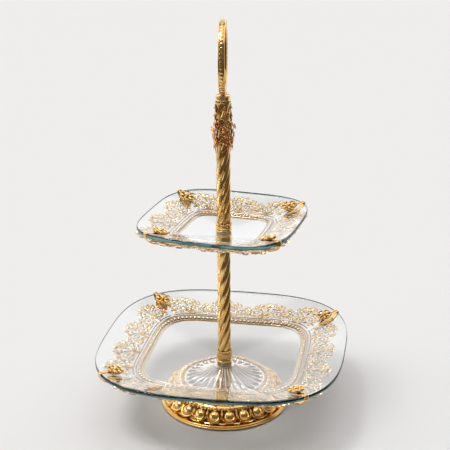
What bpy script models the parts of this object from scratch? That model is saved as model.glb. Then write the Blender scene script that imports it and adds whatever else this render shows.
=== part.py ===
"""Two-tier cake stand: glass dishes in cast gold frames, clamped on a twisted stem.

Frame: the origin is the centre of the foot's underside, +Z runs up the stem, and
+X and +Y run along the sides of the bottom dish. Every size is in metres.
"""

import math
from dataclasses import dataclass

import bmesh
import bpy
from mathutils import Matrix, Vector

# --- Driving dimensions ------------------------------------------------------

GAP = 0.0003                    # air left between two pieces that touch
MERGE = 0.000001                # corners nearer than this are one
SMOOTH_ANGLE = math.radians(35.0)
ROUND_SIDES = 20                # sides of a small turned piece
WIDE_SIDES = 32                 # sides of a ring in the foot

# The foot, which the stand rests on.
FELT_HEIGHT = 0.0012
FELT_INNER_RADIUS = 0.0688
FELT_OUTER_RADIUS = 0.0748
FOOT_RADIUS = 0.0768
FOOT_LIP_HEIGHT = 0.0066
FOOT_HEIGHT = 0.0235
FOOT_OPENING_RADIUS = 0.045
FOOT_SHOULDER = 0.0180          # from the rim in to the level shoulder
FOOT_RIM_WIDTH = 0.0085         # what stands on the felt
FOOT_WALL = 0.0022
GADROONS = 24
GADROON_SWELL = 0.0022
LEAF_BAND_WIDTH = 0.0078
LEAF_BAND_HEIGHT = 0.0042

# The fluted dome between the foot and the bottom dish.
DOME_RADIUS = 0.0494
DOME_FLUTES = 28
DOME_FLUTE_DEPTH = 0.0010
DOME_NECK_RADIUS = 0.0120
DOME_NECK_TOP = 0.0458
DOME_NUT_SEAT = 0.0345
DOME_NUT_ROOM = 0.0100          # radius of the recess round the nut
DOME_SWEEP = 2.0                # how steeply the trumpet climbs to its neck
DOME_EDGE_HEIGHT = 0.0030
DOME_WALL = 0.0030

# What clamps the stack: one long rod, a nut below and the cap above.
ROD_RADIUS = 0.0030
BORE_RADIUS = 0.0035
ROD_BOTTOM = 0.0240
NUT_ACROSS_CORNERS = 0.0115
NUT_HEIGHT = 0.0050
WASHER_RADIUS = 0.0085
WASHER_HEIGHT = 0.0012

# The glass dishes and what holds them at the middle.
GLASS_THICKNESS = 0.0042
GLASS_BORE_RADIUS = 0.0060
DISH_POWER = 1.4                # how fast the dish curls up towards its rim
DISH_FLAT_RADIUS = 0.0110       # flat where the collars clamp it
GASKET_RADIUS = 0.0088
GASKET_HEIGHT = 0.0009

# The stem.
STEM_RIDGES = 6
STEM_LEAD = 0.1125              # rise of one ridge in one turn
STEM_RIDGE_HEIGHT = 0.0008
STEM_STEPS_PER_TURN = 10
LOWER_STEM_RADIUS = 0.0077
UPPER_STEM_RADIUS = 0.0081
COLLAR_RADIUS = 0.0096
BOTTOM_COLLAR_HEIGHT = 0.0152
TOP_COLLAR_HEIGHT = 0.0105
SEAT_HEIGHT = 0.0145

# The cap, the ring handle and the sprays of flowers that hang below the cap.
CAP_BOTTOM = 0.3741
CAP_RADIUS = 0.0086
CAP_HEIGHT = 0.0064
CAP_NUT_RADIUS = 0.0056
CAP_ROOF = 0.0014
CAP_HOLE_RADIUS = 0.0020
HANDLE_TOP = 0.4640
HANDLE_WIDTH = 0.0072
HANDLE_THICKNESS = 0.0080
HANDLE_TURN = math.radians(-82.2)
HANDLE_ROUNDING = 0.0020
HANDLE_LEAF_LENGTH = 0.0056
HANDLE_LEAF_HALF_WIDTH = 0.0036
HANDLE_LEAF_STAND_OFF = 0.0020
HANDLE_LEAF_THICKNESS = 0.0012
SPRAY_COLLAR_HEIGHT = 0.0028
SPRAY_COLLAR_WALL = 0.0005
SPRAY_LENGTH = 0.0600
SPRAY_STAND_OFF = 0.0022
SPRAY_BOW = 0.0034
SPRAY_ROOT_HALF_WIDTH = 0.0014
SPRAY_SPREAD = 0.0042
SPRAY_THICKNESS = 0.0014
SPRAY_TURN = math.radians(-64.5)
SPRAYS = ("front", "right", "back", "left")

# The cast frame below each dish, the same in width on both tiers.
FRAME_CLEARANCE = 0.0010
FRAME_DROOP = 0.0040            # how far the tips hang below the glass
FRAME_EXPONENT = 4.5            # a squarer outline than the glass has
BAND_THICKNESS = 0.0024
FILIGREE_THICKNESS = 0.0018
FILIGREE_GAP = 0.0009           # between the band and the openwork
SCALLOP = 0.0030                # how far the outline dips between two tips

# The clips that hook over the glass at its four corners.
CLIP_THICKNESS = 0.0012
CLIP_STRAP_HALF_WIDTH = 0.0030
CLIP_LEAF_HALF_WIDTH = 0.0068
CLIP_LIFT = 0.0008              # strap above the glass
CLIP_EDGE_ROOM = 0.0009         # between the strap and the glass edge
CLIP_LEAF_SHAPE = ((0.0, 0.0018), (0.25, 0.0055), (0.5, CLIP_LEAF_HALF_WIDTH), (0.8, 0.0050))
CLIP_CORNER_ROOM = 0.0030       # between a clip's leaf and the openwork
CLIP_REACH = 0.0225             # from the glass edge to the strap's inner end
ROSETTE_INSET = 0.0180
ROSETTE_RADIUS = 0.0096
ROSETTE_HEIGHT = 0.0044
ROSETTE_PETALS = 6


@dataclass(frozen=True)
class Tier:
    """One dish with its frame and clips. Angles are in degrees about the stem."""

    name: str
    half: float                 # half the side of the dish
    exponent: float             # squareness of the dish's outline
    centre_top: float           # height of the glass's upper face at the stem
    depth: float                # rise from the middle to the rim
    turn: float                 # how the tier stands about the stem
    band_half: float            # half side of the frame's opening
    band_width: float
    tip_half: float             # half side over the tips of the filigree
    motifs: int                 # flower motifs along one side
    clip_angles: tuple          # where the four clips sit


BOTTOM = Tier("bottom", 0.1450, 3.07, 0.0515, 0.0291, 0.0,
              0.0877, 0.0109, 0.1327, 4, (39.0, 133.8, 221.2, 313.0))
TOP = Tier("top", 0.0900, 3.54, 0.2190, 0.0200, -7.7,
           0.0448, 0.0090, 0.0880, 3, (43.0, 139.0, 232.0, 323.0))


# --- Materials ---------------------------------------------------------------

def material(name, colour, roughness, metallic, alpha=1.0):
    """Return a plain Principled material."""
    made = bpy.data.materials.new(name)
    made.use_nodes = True
    shader = made.node_tree.nodes["Principled BSDF"]
    shader.inputs["Base Color"].default_value = (*colour, 1.0)
    shader.inputs["Roughness"].default_value = roughness
    shader.inputs["Metallic"].default_value = metallic
    shader.inputs["Alpha"].default_value = alpha
    made.diffuse_color = (*colour, alpha)
    return made


def make_materials():
    """Return the stand's materials by name."""
    return {
        "gold": material("polished_gold", (0.83, 0.58, 0.23), 0.12, 1.0),
        "pale_gold": material("pale_gold", (0.88, 0.70, 0.42), 0.18, 1.0),
        "steel": material("zinc_steel", (0.62, 0.62, 0.60), 0.35, 1.0),
        "glass": material("clear_glass", (0.86, 0.94, 0.92), 0.02, 0.0, 0.3),
        "rubber": material("soft_gasket", (0.10, 0.09, 0.07), 0.60, 0.0),
        "felt": material("foot_felt", (0.16, 0.13, 0.10), 0.95, 0.0),
    }


# --- Mesh helpers ------------------------------------------------------------

def clear_scene():
    """Remove every object that the scene starts with."""
    for obj in list(bpy.data.objects):
        bpy.data.objects.remove(obj, do_unlink=True)


def add_axis(name, turn):
    """Add the empty on the stem's axis that a group of pieces turns about."""
    axis = bpy.data.objects.new(name, None)
    axis.rotation_euler = (0.0, 0.0, turn)
    bpy.context.scene.collection.objects.link(axis)
    return axis


def add_node(name, bm, finish, parent):
    """Turn a bmesh drawn in the parent's own frame into a named object."""
    bmesh.ops.remove_doubles(bm, verts=bm.verts, dist=MERGE)
    bmesh.ops.recalc_face_normals(bm, faces=bm.faces)
    mesh = bpy.data.meshes.new(name)
    bm.to_mesh(mesh)
    bm.free()
    mesh.materials.append(finish)
    mesh.shade_smooth()
    mesh.set_sharp_from_angle(angle=SMOOTH_ANGLE)
    obj = bpy.data.objects.new(name, mesh)
    bpy.context.scene.collection.objects.link(obj)
    obj.parent = parent
    return obj


def drop(bm, thickness):
    """Give a sheet its thickness straight down, so that its rim stays upright."""
    made = bmesh.ops.extrude_face_region(bm, geom=list(bm.faces), use_keep_orig=True)
    lower = [item for item in made["geom"] if isinstance(item, bmesh.types.BMVert)]
    bmesh.ops.translate(bm, verts=lower, vec=(0.0, 0.0, -thickness))
    return bm


def thicken(obj, thickness, inwards=True):
    """Give a sheet its thickness, away from the side its faces point to, or towards it."""
    wall = obj.modifiers.new("wall", "SOLIDIFY")
    wall.thickness = thickness
    wall.offset = -1.0 if inwards else 1.0
    wall.use_even_offset = True


def turn_profile(profile, steps):
    """Spin a closed (radius, height) profile once about the stem's axis."""
    bm = bmesh.new()
    corners = [bm.verts.new((radius, 0.0, height)) for radius, height in profile]
    edges = [bm.edges.new((corners[i - 1], corners[i])) for i in range(len(corners))]
    bmesh.ops.spin(bm, geom=corners + edges, cent=(0, 0, 0), axis=(0, 0, 1),
                   dvec=(0, 0, 0), angle=math.tau, steps=steps, use_merge=True)
    return bm


def swell(bm, amount):
    """Move each vertex outwards by amount(radius, height, angle)."""
    for vert in bm.verts:
        radius = math.hypot(vert.co.x, vert.co.y)
        angle = math.atan2(vert.co.y, vert.co.x)
        grown = 1.0 + amount(radius, vert.co.z, angle) / radius
        vert.co.x *= grown
        vert.co.y *= grown


def box_profile(inner, outer, low, high):
    """Return the square section of a plain ring."""
    return [(inner, low), (outer, low), (outer, high), (inner, high)]


def sheet(points, kept=None):
    """Draw a grid of points as a sheet, leaving out the cells not kept."""
    bm = bmesh.new()
    grid = [[bm.verts.new(point) for point in row] for row in points]
    for i in range(len(grid) - 1):
        for j in range(len(grid[0]) - 1):
            if kept is None or kept(i, j):
                bm.faces.new((grid[i][j], grid[i + 1][j],
                              grid[i + 1][j + 1], grid[i][j + 1]))
    loose = [vert for vert in bm.verts if not vert.link_faces]
    bmesh.ops.delete(bm, geom=loose, context="VERTS")
    bmesh.ops.remove_doubles(bm, verts=bm.verts, dist=MERGE)
    return bm


def skin(loops, closed):
    """Join equal loops of points into a tube, or into a ring when closed."""
    bm = bmesh.new()
    rings = [[bm.verts.new(point) for point in loop] for loop in loops]
    count = len(rings[0])
    for k in range(len(rings) if closed else len(rings) - 1):
        first, second = rings[k], rings[(k + 1) % len(rings)]
        for i in range(count):
            j = (i + 1) % count
            bm.faces.new((first[i], first[j], second[j], second[i]))
    if not closed:
        bm.faces.new(rings[0])
        bm.faces.new(rings[-1])
    return bm


# --- The foot and the dome ---------------------------------------------------

def build_foot(finishes):
    """Build the felt ring, the gadrooned foot and its band of leaves."""
    felt = turn_profile(box_profile(FELT_INNER_RADIUS, FELT_OUTER_RADIUS, 0.0, FELT_HEIGHT),
                        WIDE_SIDES)
    add_node("foot_felt", felt, finishes["felt"], None)

    low = FELT_HEIGHT + GAP
    lip = FOOT_LIP_HEIGHT
    top = FOOT_HEIGHT
    profile = [
        (FOOT_RADIUS - FOOT_RIM_WIDTH, low),
        (FOOT_RADIUS - 0.0008, low),
        (FOOT_RADIUS, low + 0.0012),
        (FOOT_RADIUS - 0.0006, low + 0.0030),
        (FOOT_RADIUS - 0.0020, lip - 0.0016),
        (FOOT_RADIUS - 0.0025, lip),
        (FOOT_RADIUS - 0.0040, lip + 0.0022),
        (FOOT_RADIUS - 0.0042, lip + 0.0062),
        (FOOT_RADIUS - 0.0090, top - 0.0040),
        (FOOT_RADIUS - FOOT_SHOULDER, top),
        (FOOT_OPENING_RADIUS, top),
        (FOOT_OPENING_RADIUS, top - FOOT_WALL),
        (FOOT_RADIUS - FOOT_SHOULDER - 0.0010, top - FOOT_WALL - 0.0004),
        (FOOT_RADIUS - 0.0105, lip + 0.0050),
    ]
    foot = turn_profile(profile, GADROONS * 2)

    def gadroon(radius, height, angle):
        on_wall = lip + 0.001 < height < top - 0.001 and radius > FOOT_RADIUS - 0.0095
        return GADROON_SWELL * math.cos(GADROONS * angle) if on_wall else 0.0

    swell(foot, gadroon)
    add_node("foot_casting", foot, finishes["gold"], None)

    inner = DOME_RADIUS + 2 * GAP
    base = top + GAP
    band = turn_profile([
        (inner, base),
        (inner + LEAF_BAND_WIDTH, base),
        (inner + LEAF_BAND_WIDTH - 0.0012, base + LEAF_BAND_HEIGHT * 0.6),
        (inner + LEAF_BAND_WIDTH * 0.4, base + LEAF_BAND_HEIGHT),
        (inner, base + LEAF_BAND_HEIGHT * 0.8),
    ], WIDE_SIDES)
    add_node("foot_leaf_band", band, finishes["gold"], None)


def dome_height(radius):
    """Return the height of the dome's face: a trumpet, steep at the neck."""
    share = (DOME_RADIUS - radius) / (DOME_RADIUS - DOME_NECK_RADIUS)
    base = FOOT_HEIGHT + DOME_EDGE_HEIGHT
    rise = DOME_NECK_TOP - base - 0.0010
    return base + rise * share ** DOME_SWEEP


def build_dome(finishes):
    """Build the fluted dome, hollow below, with a solid neck for the nut."""
    base = FOOT_HEIGHT + GAP
    outer = [(radius, dome_height(radius))
             for radius in (DOME_RADIUS - 0.002, 0.038, 0.027, 0.018, 0.0145)]
    profile = [(DOME_RADIUS - 0.0035, base), (DOME_RADIUS, base)] + outer + [
        (DOME_NECK_RADIUS, DOME_NECK_TOP - 0.0020),
        (DOME_NECK_RADIUS, DOME_NECK_TOP),
        (BORE_RADIUS, DOME_NECK_TOP),
        (BORE_RADIUS, DOME_NUT_SEAT),
        (DOME_NUT_ROOM, DOME_NUT_SEAT),
        (0.0160, dome_height(0.018) - DOME_WALL),
        (0.0300, dome_height(0.030) - 0.0022),
    ]
    dome = turn_profile(profile, DOME_FLUTES * 2)

    def flute(radius, height, angle):
        on_face = radius > 0.0130 and height > base + 0.0010
        below = height < dome_height(min(radius, DOME_RADIUS)) - 0.0015
        if not on_face or below:
            return 0.0
        return DOME_FLUTE_DEPTH * math.cos(DOME_FLUTES * angle)

    swell(dome, flute)
    add_node("dome", dome, finishes["gold"], None)


# --- The stem and its fastenings ---------------------------------------------

def build_clamp(finishes):
    """Build the long rod, with the washer and the nut that hold it below."""
    rod_top = CAP_BOTTOM + CAP_HEIGHT - 0.0020
    length = rod_top - ROD_BOTTOM
    rod = bmesh.new()
    bmesh.ops.create_cone(rod, cap_ends=True, segments=16, radius1=ROD_RADIUS,
                          radius2=ROD_RADIUS, depth=length)
    bmesh.ops.translate(rod, verts=rod.verts, vec=(0, 0, ROD_BOTTOM + length / 2))
    add_node("tie_rod", rod, finishes["steel"], None)

    washer_low = DOME_NUT_SEAT - GAP - WASHER_HEIGHT
    washer = turn_profile(
        box_profile(BORE_RADIUS, WASHER_RADIUS, washer_low, DOME_NUT_SEAT - GAP),
        ROUND_SIDES)
    add_node("rod_washer", washer, finishes["steel"], None)

    nut_top = washer_low - GAP
    nut = turn_profile(
        box_profile(BORE_RADIUS, NUT_ACROSS_CORNERS / 2, nut_top - NUT_HEIGHT, nut_top), 6)
    add_node("rod_nut", nut, finishes["steel"], None)


def twisted_tube(radius, low, high):
    """Twist a ridged outline up the stem, and bore it for the rod."""
    sides = STEM_RIDGES * 4
    steps = round((high - low) / STEM_LEAD * STEM_STEPS_PER_TURN)
    bm = bmesh.new()

    def ring(height, lean, reach):
        angles = [math.tau * i / sides for i in range(sides)]
        return [bm.verts.new((reach(angle) * math.cos(angle + lean),
                              reach(angle) * math.sin(angle + lean), height))
                for angle in angles]

    def crest(angle):
        groove = 1 - abs(math.cos(STEM_RIDGES * angle / 2))
        return radius - STEM_RIDGE_HEIGHT * groove

    def join(first, second, shift=0):
        for i in range(sides):
            j = (i + 1) % sides
            bm.faces.new((first[i], first[j],
                          second[(j + shift) % sides], second[(i + shift) % sides]))

    heights = [low + (high - low) * k / steps for k in range(steps + 1)]
    outer = [ring(height, math.tau * (height - low) / STEM_LEAD, crest)
             for height in heights]
    bore = [ring(height, 0.0, lambda angle: BORE_RADIUS) for height in (low, high)]
    for first, second in zip(outer, outer[1:]):
        join(first, second)
    join(bore[0], bore[1])
    join(outer[0], bore[0])
    join(outer[-1], bore[1], round((high - low) / STEM_LEAD * sides))
    return bm


def beaded_collar(low, height):
    """Turn a ferrule: a foot groove, a smooth belt and a rounded top bead."""
    high = low + height
    wide = COLLAR_RADIUS
    return turn_profile([
        (BORE_RADIUS, low),
        (wide - 0.0006, low),
        (wide, low + 0.0008),
        (wide - 0.0004, low + 0.0024),
        (wide - 0.0004, high - 0.0040),
        (wide, high - 0.0028),
        (wide + 0.0002, high - 0.0014),
        (wide - 0.0012, high),
        (BORE_RADIUS, high),
    ], ROUND_SIDES)


def gasket(name, low, finishes):
    """Add one soft ring between the glass and the metal."""
    ring = turn_profile(
        box_profile(BORE_RADIUS + 0.0003, GASKET_RADIUS, low, low + GASKET_HEIGHT),
        ROUND_SIDES)
    add_node(name, ring, finishes["rubber"], None)


def build_stem(finishes):
    """Stack the collars, gaskets and twisted tubes around the rod."""
    gold = finishes["gold"]
    glass_low = BOTTOM.centre_top - GLASS_THICKNESS
    gasket("bottom_gasket_lower", glass_low - GAP - GASKET_HEIGHT, finishes)
    gasket("bottom_gasket_upper", BOTTOM.centre_top + GAP, finishes)
    collar_low = BOTTOM.centre_top + GASKET_HEIGHT + 2 * GAP
    add_node("bottom_collar", beaded_collar(collar_low, BOTTOM_COLLAR_HEIGHT), gold, None)

    glass_low = TOP.centre_top - GLASS_THICKNESS
    gasket_low = glass_low - GAP - GASKET_HEIGHT
    gasket("top_gasket_lower", gasket_low, finishes)
    seat_low = gasket_low - GAP - SEAT_HEIGHT
    add_node("top_seat", beaded_collar(seat_low, SEAT_HEIGHT), gold, None)
    lower = twisted_tube(LOWER_STEM_RADIUS, collar_low + BOTTOM_COLLAR_HEIGHT + GAP,
                         seat_low - GAP)
    add_node("lower_stem", lower, gold, None)

    gasket("top_gasket_upper", TOP.centre_top + GAP, finishes)
    collar_low = TOP.centre_top + GASKET_HEIGHT + 2 * GAP
    add_node("top_collar", beaded_collar(collar_low, TOP_COLLAR_HEIGHT), gold, None)
    upper = twisted_tube(UPPER_STEM_RADIUS, collar_low + TOP_COLLAR_HEIGHT + GAP,
                         CAP_BOTTOM - GAP)
    add_node("upper_stem", upper, gold, None)


def build_sprays(finishes):
    """Hang four cast sprays of flowers from a ring round the top of the stem."""
    inner = UPPER_STEM_RADIUS + GAP
    high = CAP_BOTTOM - 2 * GAP
    low = high - SPRAY_COLLAR_HEIGHT
    outer = inner + SPRAY_COLLAR_WALL
    ring = turn_profile(box_profile(inner, outer, low, high), ROUND_SIDES)
    add_node("spray_collar", ring, finishes["gold"], None)

    rows = 9
    for index, name in enumerate(SPRAYS):
        points = []
        for k in range(rows):
            share = k / (rows - 1)
            height = low - GAP - SPRAY_LENGTH * share
            bow = SPRAY_BOW * math.sin(math.pi * share) ** 2
            stand_off = inner + SPRAY_STAND_OFF + bow
            spread = SPRAY_SPREAD * math.sin(math.pi * share ** 0.8) ** 2
            half = SPRAY_ROOT_HALF_WIDTH + spread
            row = []
            for side in (-1, -0.5, 0, 0.5, 1):
                across = side * half
                out = math.sqrt(stand_off ** 2 - across ** 2)
                row.append((out, across, height))
            points.append(row)
        axis = add_axis("spray_%s_axis" % name, SPRAY_TURN + index * math.pi / 2)
        spray = add_node("spray_" + name, sheet(points), finishes["gold"], axis)
        face_out(spray)
        thicken(spray, SPRAY_THICKNESS)


def face_out(obj):
    """Turn a sheet's faces so that they point away from the stem's axis."""
    outward = 0.0
    for face in obj.data.polygons:
        side = Vector((face.center.x, face.center.y, 0.0)).normalized()
        outward += face.normal.dot(side) * face.area
    if outward < 0:
        obj.data.flip_normals()


# --- The cap and the handle --------------------------------------------------

def build_handle(finishes):
    """Build the cap with its nut, the ring handle and its two hanging leaves."""
    axis = add_axis("handle_axis", HANDLE_TURN)
    top = CAP_BOTTOM + CAP_HEIGHT
    wide = CAP_RADIUS
    cup = [
        (CAP_NUT_RADIUS + GAP, CAP_BOTTOM),
        (wide - 0.0006, CAP_BOTTOM),
        (wide, CAP_BOTTOM + 0.0008),
        (wide, top - 0.0010),
        (wide - 0.0010, top),
        (CAP_HOLE_RADIUS, top),
        (CAP_HOLE_RADIUS, top - CAP_ROOF),
        (CAP_NUT_RADIUS + GAP, top - CAP_ROOF),
    ]
    add_node("cap", turn_profile(cup, ROUND_SIDES), finishes["gold"], axis)
    nut_top = top - CAP_ROOF - 2 * GAP
    nut = turn_profile(
        box_profile(BORE_RADIUS, CAP_NUT_RADIUS, CAP_BOTTOM + GAP, nut_top), 12)
    add_node("cap_nut", nut, finishes["steel"], axis)

    low = top + GAP
    reach = (HANDLE_TOP - low) / 2
    centre = low + reach
    inner = reach - HANDLE_THICKNESS
    half = HANDLE_WIDTH / 2
    cut = HANDLE_ROUNDING
    section = [(inner, -half * 0.7), (inner, half * 0.7), (inner + cut, half),
               (reach - cut, half), (reach, half * 0.6), (reach, -half * 0.6),
               (reach - cut, -half), (inner + cut, -half)]
    loops = []
    for k in range(WIDE_SIDES):
        angle = math.tau * k / WIDE_SIDES
        loops.append([(radius * math.sin(angle), across, centre - radius * math.cos(angle))
                      for radius, across in section])
    add_node("handle_loop", skin(loops, closed=True), finishes["gold"], axis)

    for name, side in (("front", 1), ("back", -1)):
        leaf_axis = add_axis("handle_leaf_%s_axis" % name,
                             HANDLE_TURN + (0.0 if side > 0 else math.pi))
        points = []
        for k in range(6):
            share = k / 5
            height = low + 0.0005 - HANDLE_LEAF_LENGTH * share
            half = HANDLE_LEAF_HALF_WIDTH * math.sqrt(1.0 - share) + GAP
            out = CAP_RADIUS + HANDLE_LEAF_STAND_OFF + 0.0006 * math.sin(math.pi * share)
            points.append([(out, -half, height), (out + 0.0005, 0.0, height),
                           (out, half, height)])
        leaf = add_node("handle_leaf_" + name, sheet(points), finishes["gold"], leaf_axis)
        face_out(leaf)
        thicken(leaf, HANDLE_LEAF_THICKNESS)


# --- The tiers ---------------------------------------------------------------

def outline_radius(half, exponent, angle):
    """Return the radius of a rounded square, a superellipse, at an angle."""
    total = abs(math.cos(angle)) ** exponent + abs(math.sin(angle)) ** exponent
    return half / total ** (1.0 / exponent)


def dish_height(tier, x, y):
    """Return the height of the glass's upper face: flat in the middle, then curling up."""
    n = tier.exponent
    reach = (abs(x) ** n + abs(y) ** n) ** (1.0 / n)
    share = max(0.0, reach - DISH_FLAT_RADIUS) / (tier.half - DISH_FLAT_RADIUS)
    return tier.centre_top + tier.depth * share ** DISH_POWER


def frame_height(tier, x, y):
    """Return the height of the frame's upper face, which droops to its tips."""
    reach = outline_radius(1.0, FRAME_EXPONENT, math.atan2(y, x))
    share = math.hypot(x, y) / reach
    droop = (share - tier.band_half) / (tier.tip_half - tier.band_half)
    below = GLASS_THICKNESS + FRAME_CLEARANCE + FRAME_DROOP * droop
    return dish_height(tier, x, y) - below


def build_glass(tier, axis, finishes):
    """Build one dish: rings of points from the bore to the rim, thickened."""
    sides = 40
    shares = (0.0, 0.25, 0.5, 0.75, 1.0)
    points = []
    for i in range(sides + 1):
        angle = math.tau * i / sides
        rim = outline_radius(tier.half, tier.exponent, angle)
        radii = [DISH_FLAT_RADIUS + (rim - DISH_FLAT_RADIUS) * share for share in shares]
        row = []
        for radius in [GLASS_BORE_RADIUS] + radii:
            x, y = radius * math.cos(angle), radius * math.sin(angle)
            row.append((x, y, dish_height(tier, x, y)))
        points.append(row)
    glass = drop(sheet(points), GLASS_THICKNESS)
    add_node(tier.name + "_glass", glass, finishes["glass"], axis)


def build_band(tier, axis, finishes):
    """Build the moulded band round the frame's opening."""
    sides = 48
    points = []
    for i in range(sides + 1):
        angle = math.tau * i / sides
        row = []
        for half in (tier.band_half, tier.band_half + tier.band_width):
            radius = outline_radius(half, FRAME_EXPONENT, angle)
            x, y = radius * math.cos(angle), radius * math.sin(angle)
            row.append((x, y, frame_height(tier, x, y)))
        points.append(row)
    band = drop(sheet(points), BAND_THICKNESS)
    add_node(tier.name + "_frame_band", band, finishes["pale_gold"], axis)


def build_filigree(tier, axis, finishes):
    """Build the openwork on each side, from one clip to the next."""
    inner_half = tier.band_half + tier.band_width + FILIGREE_GAP
    shares = (0.0, 0.22, 0.72, 1.0)
    cells = 2 * tier.motifs + 1
    steps = 2 * cells
    for index, name in enumerate(("back", "left", "front", "right")):
        start = math.radians(tier.clip_angles[index])
        end = math.radians(tier.clip_angles[(index + 1) % 4])
        if end < start:
            end += math.tau
        near = outline_radius(inner_half, FRAME_EXPONENT, start)
        margin = math.asin((CLIP_LEAF_HALF_WIDTH + CLIP_CORNER_ROOM) / near)
        points = []
        for i in range(steps + 1):
            angle = start + margin + (end - start - 2 * margin) * i / steps
            tip_half = tier.tip_half - SCALLOP * math.cos(math.pi * i / steps * cells) ** 2
            inner = outline_radius(inner_half, FRAME_EXPONENT, angle)
            outer = outline_radius(tip_half, FRAME_EXPONENT, angle)
            limit = outline_radius(tier.half, tier.exponent, angle) - 0.001
            row = []
            for share in shares:
                radius = min(inner + (outer - inner) * share, limit)
                x, y = radius * math.cos(angle), radius * math.sin(angle)
                row.append((x, y, frame_height(tier, x, y)))
            points.append(row)

        def kept(i, j):
            return not (j == 1 and (i // 2) % 2 == 1)

        panel = drop(sheet(points, kept), FILIGREE_THICKNESS)
        add_node("%s_filigree_%s" % (tier.name, name), panel, finishes["pale_gold"], axis)


def clip_path(tier, angle):
    """Return (radius, height, half width) along a clip's outer face.

    It runs from the leaf's tip at the band, out below the filigree's level,
    round the glass edge and back over the glass to the rosette.
    """
    edge = outline_radius(tier.half, tier.exponent, angle)
    start = outline_radius(tier.band_half + tier.band_width, FRAME_EXPONENT, angle) + 0.0012

    def under(radius):
        return frame_height(tier, radius * math.cos(angle), radius * math.sin(angle))

    def over(radius):
        return dish_height(tier, radius * math.cos(angle), radius * math.sin(angle))

    outer = edge + CLIP_EDGE_ROOM
    rim = over(edge)
    path = []
    for share, half in CLIP_LEAF_SHAPE:
        radius = start + (edge - start) * share
        path.append((radius, under(radius), half))
    path += [
        (outer + 0.0004, rim - GLASS_THICKNESS - 0.0020, CLIP_STRAP_HALF_WIDTH),
        (outer + 0.0012, rim - GLASS_THICKNESS / 2, CLIP_STRAP_HALF_WIDTH),
        (outer, rim + 0.0012, CLIP_STRAP_HALF_WIDTH),
    ]
    for share in (0.12, 0.5, 1.0):
        radius = edge - CLIP_REACH * share
        path.append((radius, over(radius) + CLIP_LIFT, CLIP_STRAP_HALF_WIDTH))
    return path


def build_clips(tier, axis, finishes):
    """Build the four clips and their rosettes."""
    for index, degrees in enumerate(tier.clip_angles):
        angle = math.radians(degrees)
        radial = Vector((math.cos(angle), math.sin(angle), 0.0))
        across = Vector((-math.sin(angle), math.cos(angle), 0.0))
        rows = []
        for radius, height, half in clip_path(tier, angle):
            centre = radial * radius + Vector((0.0, 0.0, height))
            rows.append([centre - across * half, centre, centre + across * half])
        name = "%s_clip_%d" % (tier.name, index + 1)
        clip = add_node(name, sheet(rows), finishes["gold"], axis)
        thicken(clip, CLIP_THICKNESS, inwards=False)
        aim_clip(clip, radial)

        edge = outline_radius(tier.half, tier.exponent, angle)
        add_rosette(tier, index, angle, edge - ROSETTE_INSET, finishes, axis)


def aim_clip(obj, radial):
    """Turn a clip's sheet so that its wall grows away from the glass."""
    total = 0.0
    for face in obj.data.polygons:
        if face.center.z < max(vert.co.z for vert in obj.data.vertices) - 0.004:
            total -= face.normal.z * face.area
    if total < 0:
        obj.data.flip_normals()


def glass_normal(tier, x, y):
    """Return the upward normal of the dish's upper face at a point."""
    step = 0.0005
    run_x = (dish_height(tier, x + step, y) - dish_height(tier, x - step, y)) / (2 * step)
    run_y = (dish_height(tier, x, y + step) - dish_height(tier, x, y - step)) / (2 * step)
    return Vector((-run_x, -run_y, 1.0)).normalized()


def seat_on_glass(tier, angle, radius, lift):
    """Return the matrix that stands a piece on the glass, its X axis radial."""
    x, y = radius * math.cos(angle), radius * math.sin(angle)
    normal = glass_normal(tier, x, y)
    radial = Vector((math.cos(angle), math.sin(angle), 0.0))
    radial = (radial - normal * radial.dot(normal)).normalized()
    across = normal.cross(radial)
    place = Matrix((radial, across, normal)).transposed().to_4x4()
    place.translation = Vector((x, y, dish_height(tier, x, y))) + normal * lift
    return place


def add_rosette(tier, index, angle, radius, finishes, axis):
    """Add one six-petalled rosette on the inner end of a strap."""
    sides = ROSETTE_PETALS * 2
    wave = [1.0 if i % 2 == 0 else 0.78 for i in range(sides)]

    def loop(share, height):
        return [(ROSETTE_RADIUS * share * wave[i] * math.cos(math.tau * i / sides),
                 ROSETTE_RADIUS * share * wave[i] * math.sin(math.tau * i / sides), height)
                for i in range(sides)]

    rosette = skin([loop(0.85, 0.0), loop(1.0, ROSETTE_HEIGHT * 0.4),
                    loop(0.65, ROSETTE_HEIGHT * 0.75), loop(0.25, ROSETTE_HEIGHT)],
                   closed=False)
    lift = CLIP_LIFT + CLIP_THICKNESS + 2 * GAP
    bmesh.ops.transform(rosette, verts=rosette.verts,
                        matrix=seat_on_glass(tier, angle, radius, lift))
    name = "%s_rosette_%d" % (tier.name, index + 1)
    add_node(name, rosette, finishes["gold"], axis)


def build_tier(tier, finishes):
    """Build one dish with its frame, clips and rosettes on its own axis."""
    axis = add_axis(tier.name + "_tier_axis", math.radians(tier.turn))
    build_glass(tier, axis, finishes)
    build_band(tier, axis, finishes)
    build_filigree(tier, axis, finishes)
    build_clips(tier, axis, finishes)


def main():
    """Build the whole stand."""
    clear_scene()
    finishes = make_materials()
    build_foot(finishes)
    build_dome(finishes)
    build_clamp(finishes)
    build_stem(finishes)
    build_sprays(finishes)
    build_handle(finishes)
    build_tier(BOTTOM, finishes)
    build_tier(TOP, finishes)


main()
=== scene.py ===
"""Looks of a two-tier cake stand: slumped glass dishes in cast gold frames on a twisted stem.

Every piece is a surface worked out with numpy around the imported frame: turned sections,
tubes and ribbons along paths, and small leaves and petals strewn over them. Sizes are in
metres. The stem is the Z axis, and an angle is measured about it from +X.
"""

import logging
import math
from dataclasses import dataclass, field
from enum import Enum
from typing import Callable, Sequence

import bmesh
import bpy
import numpy as np
from mathutils import Matrix, Vector


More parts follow.
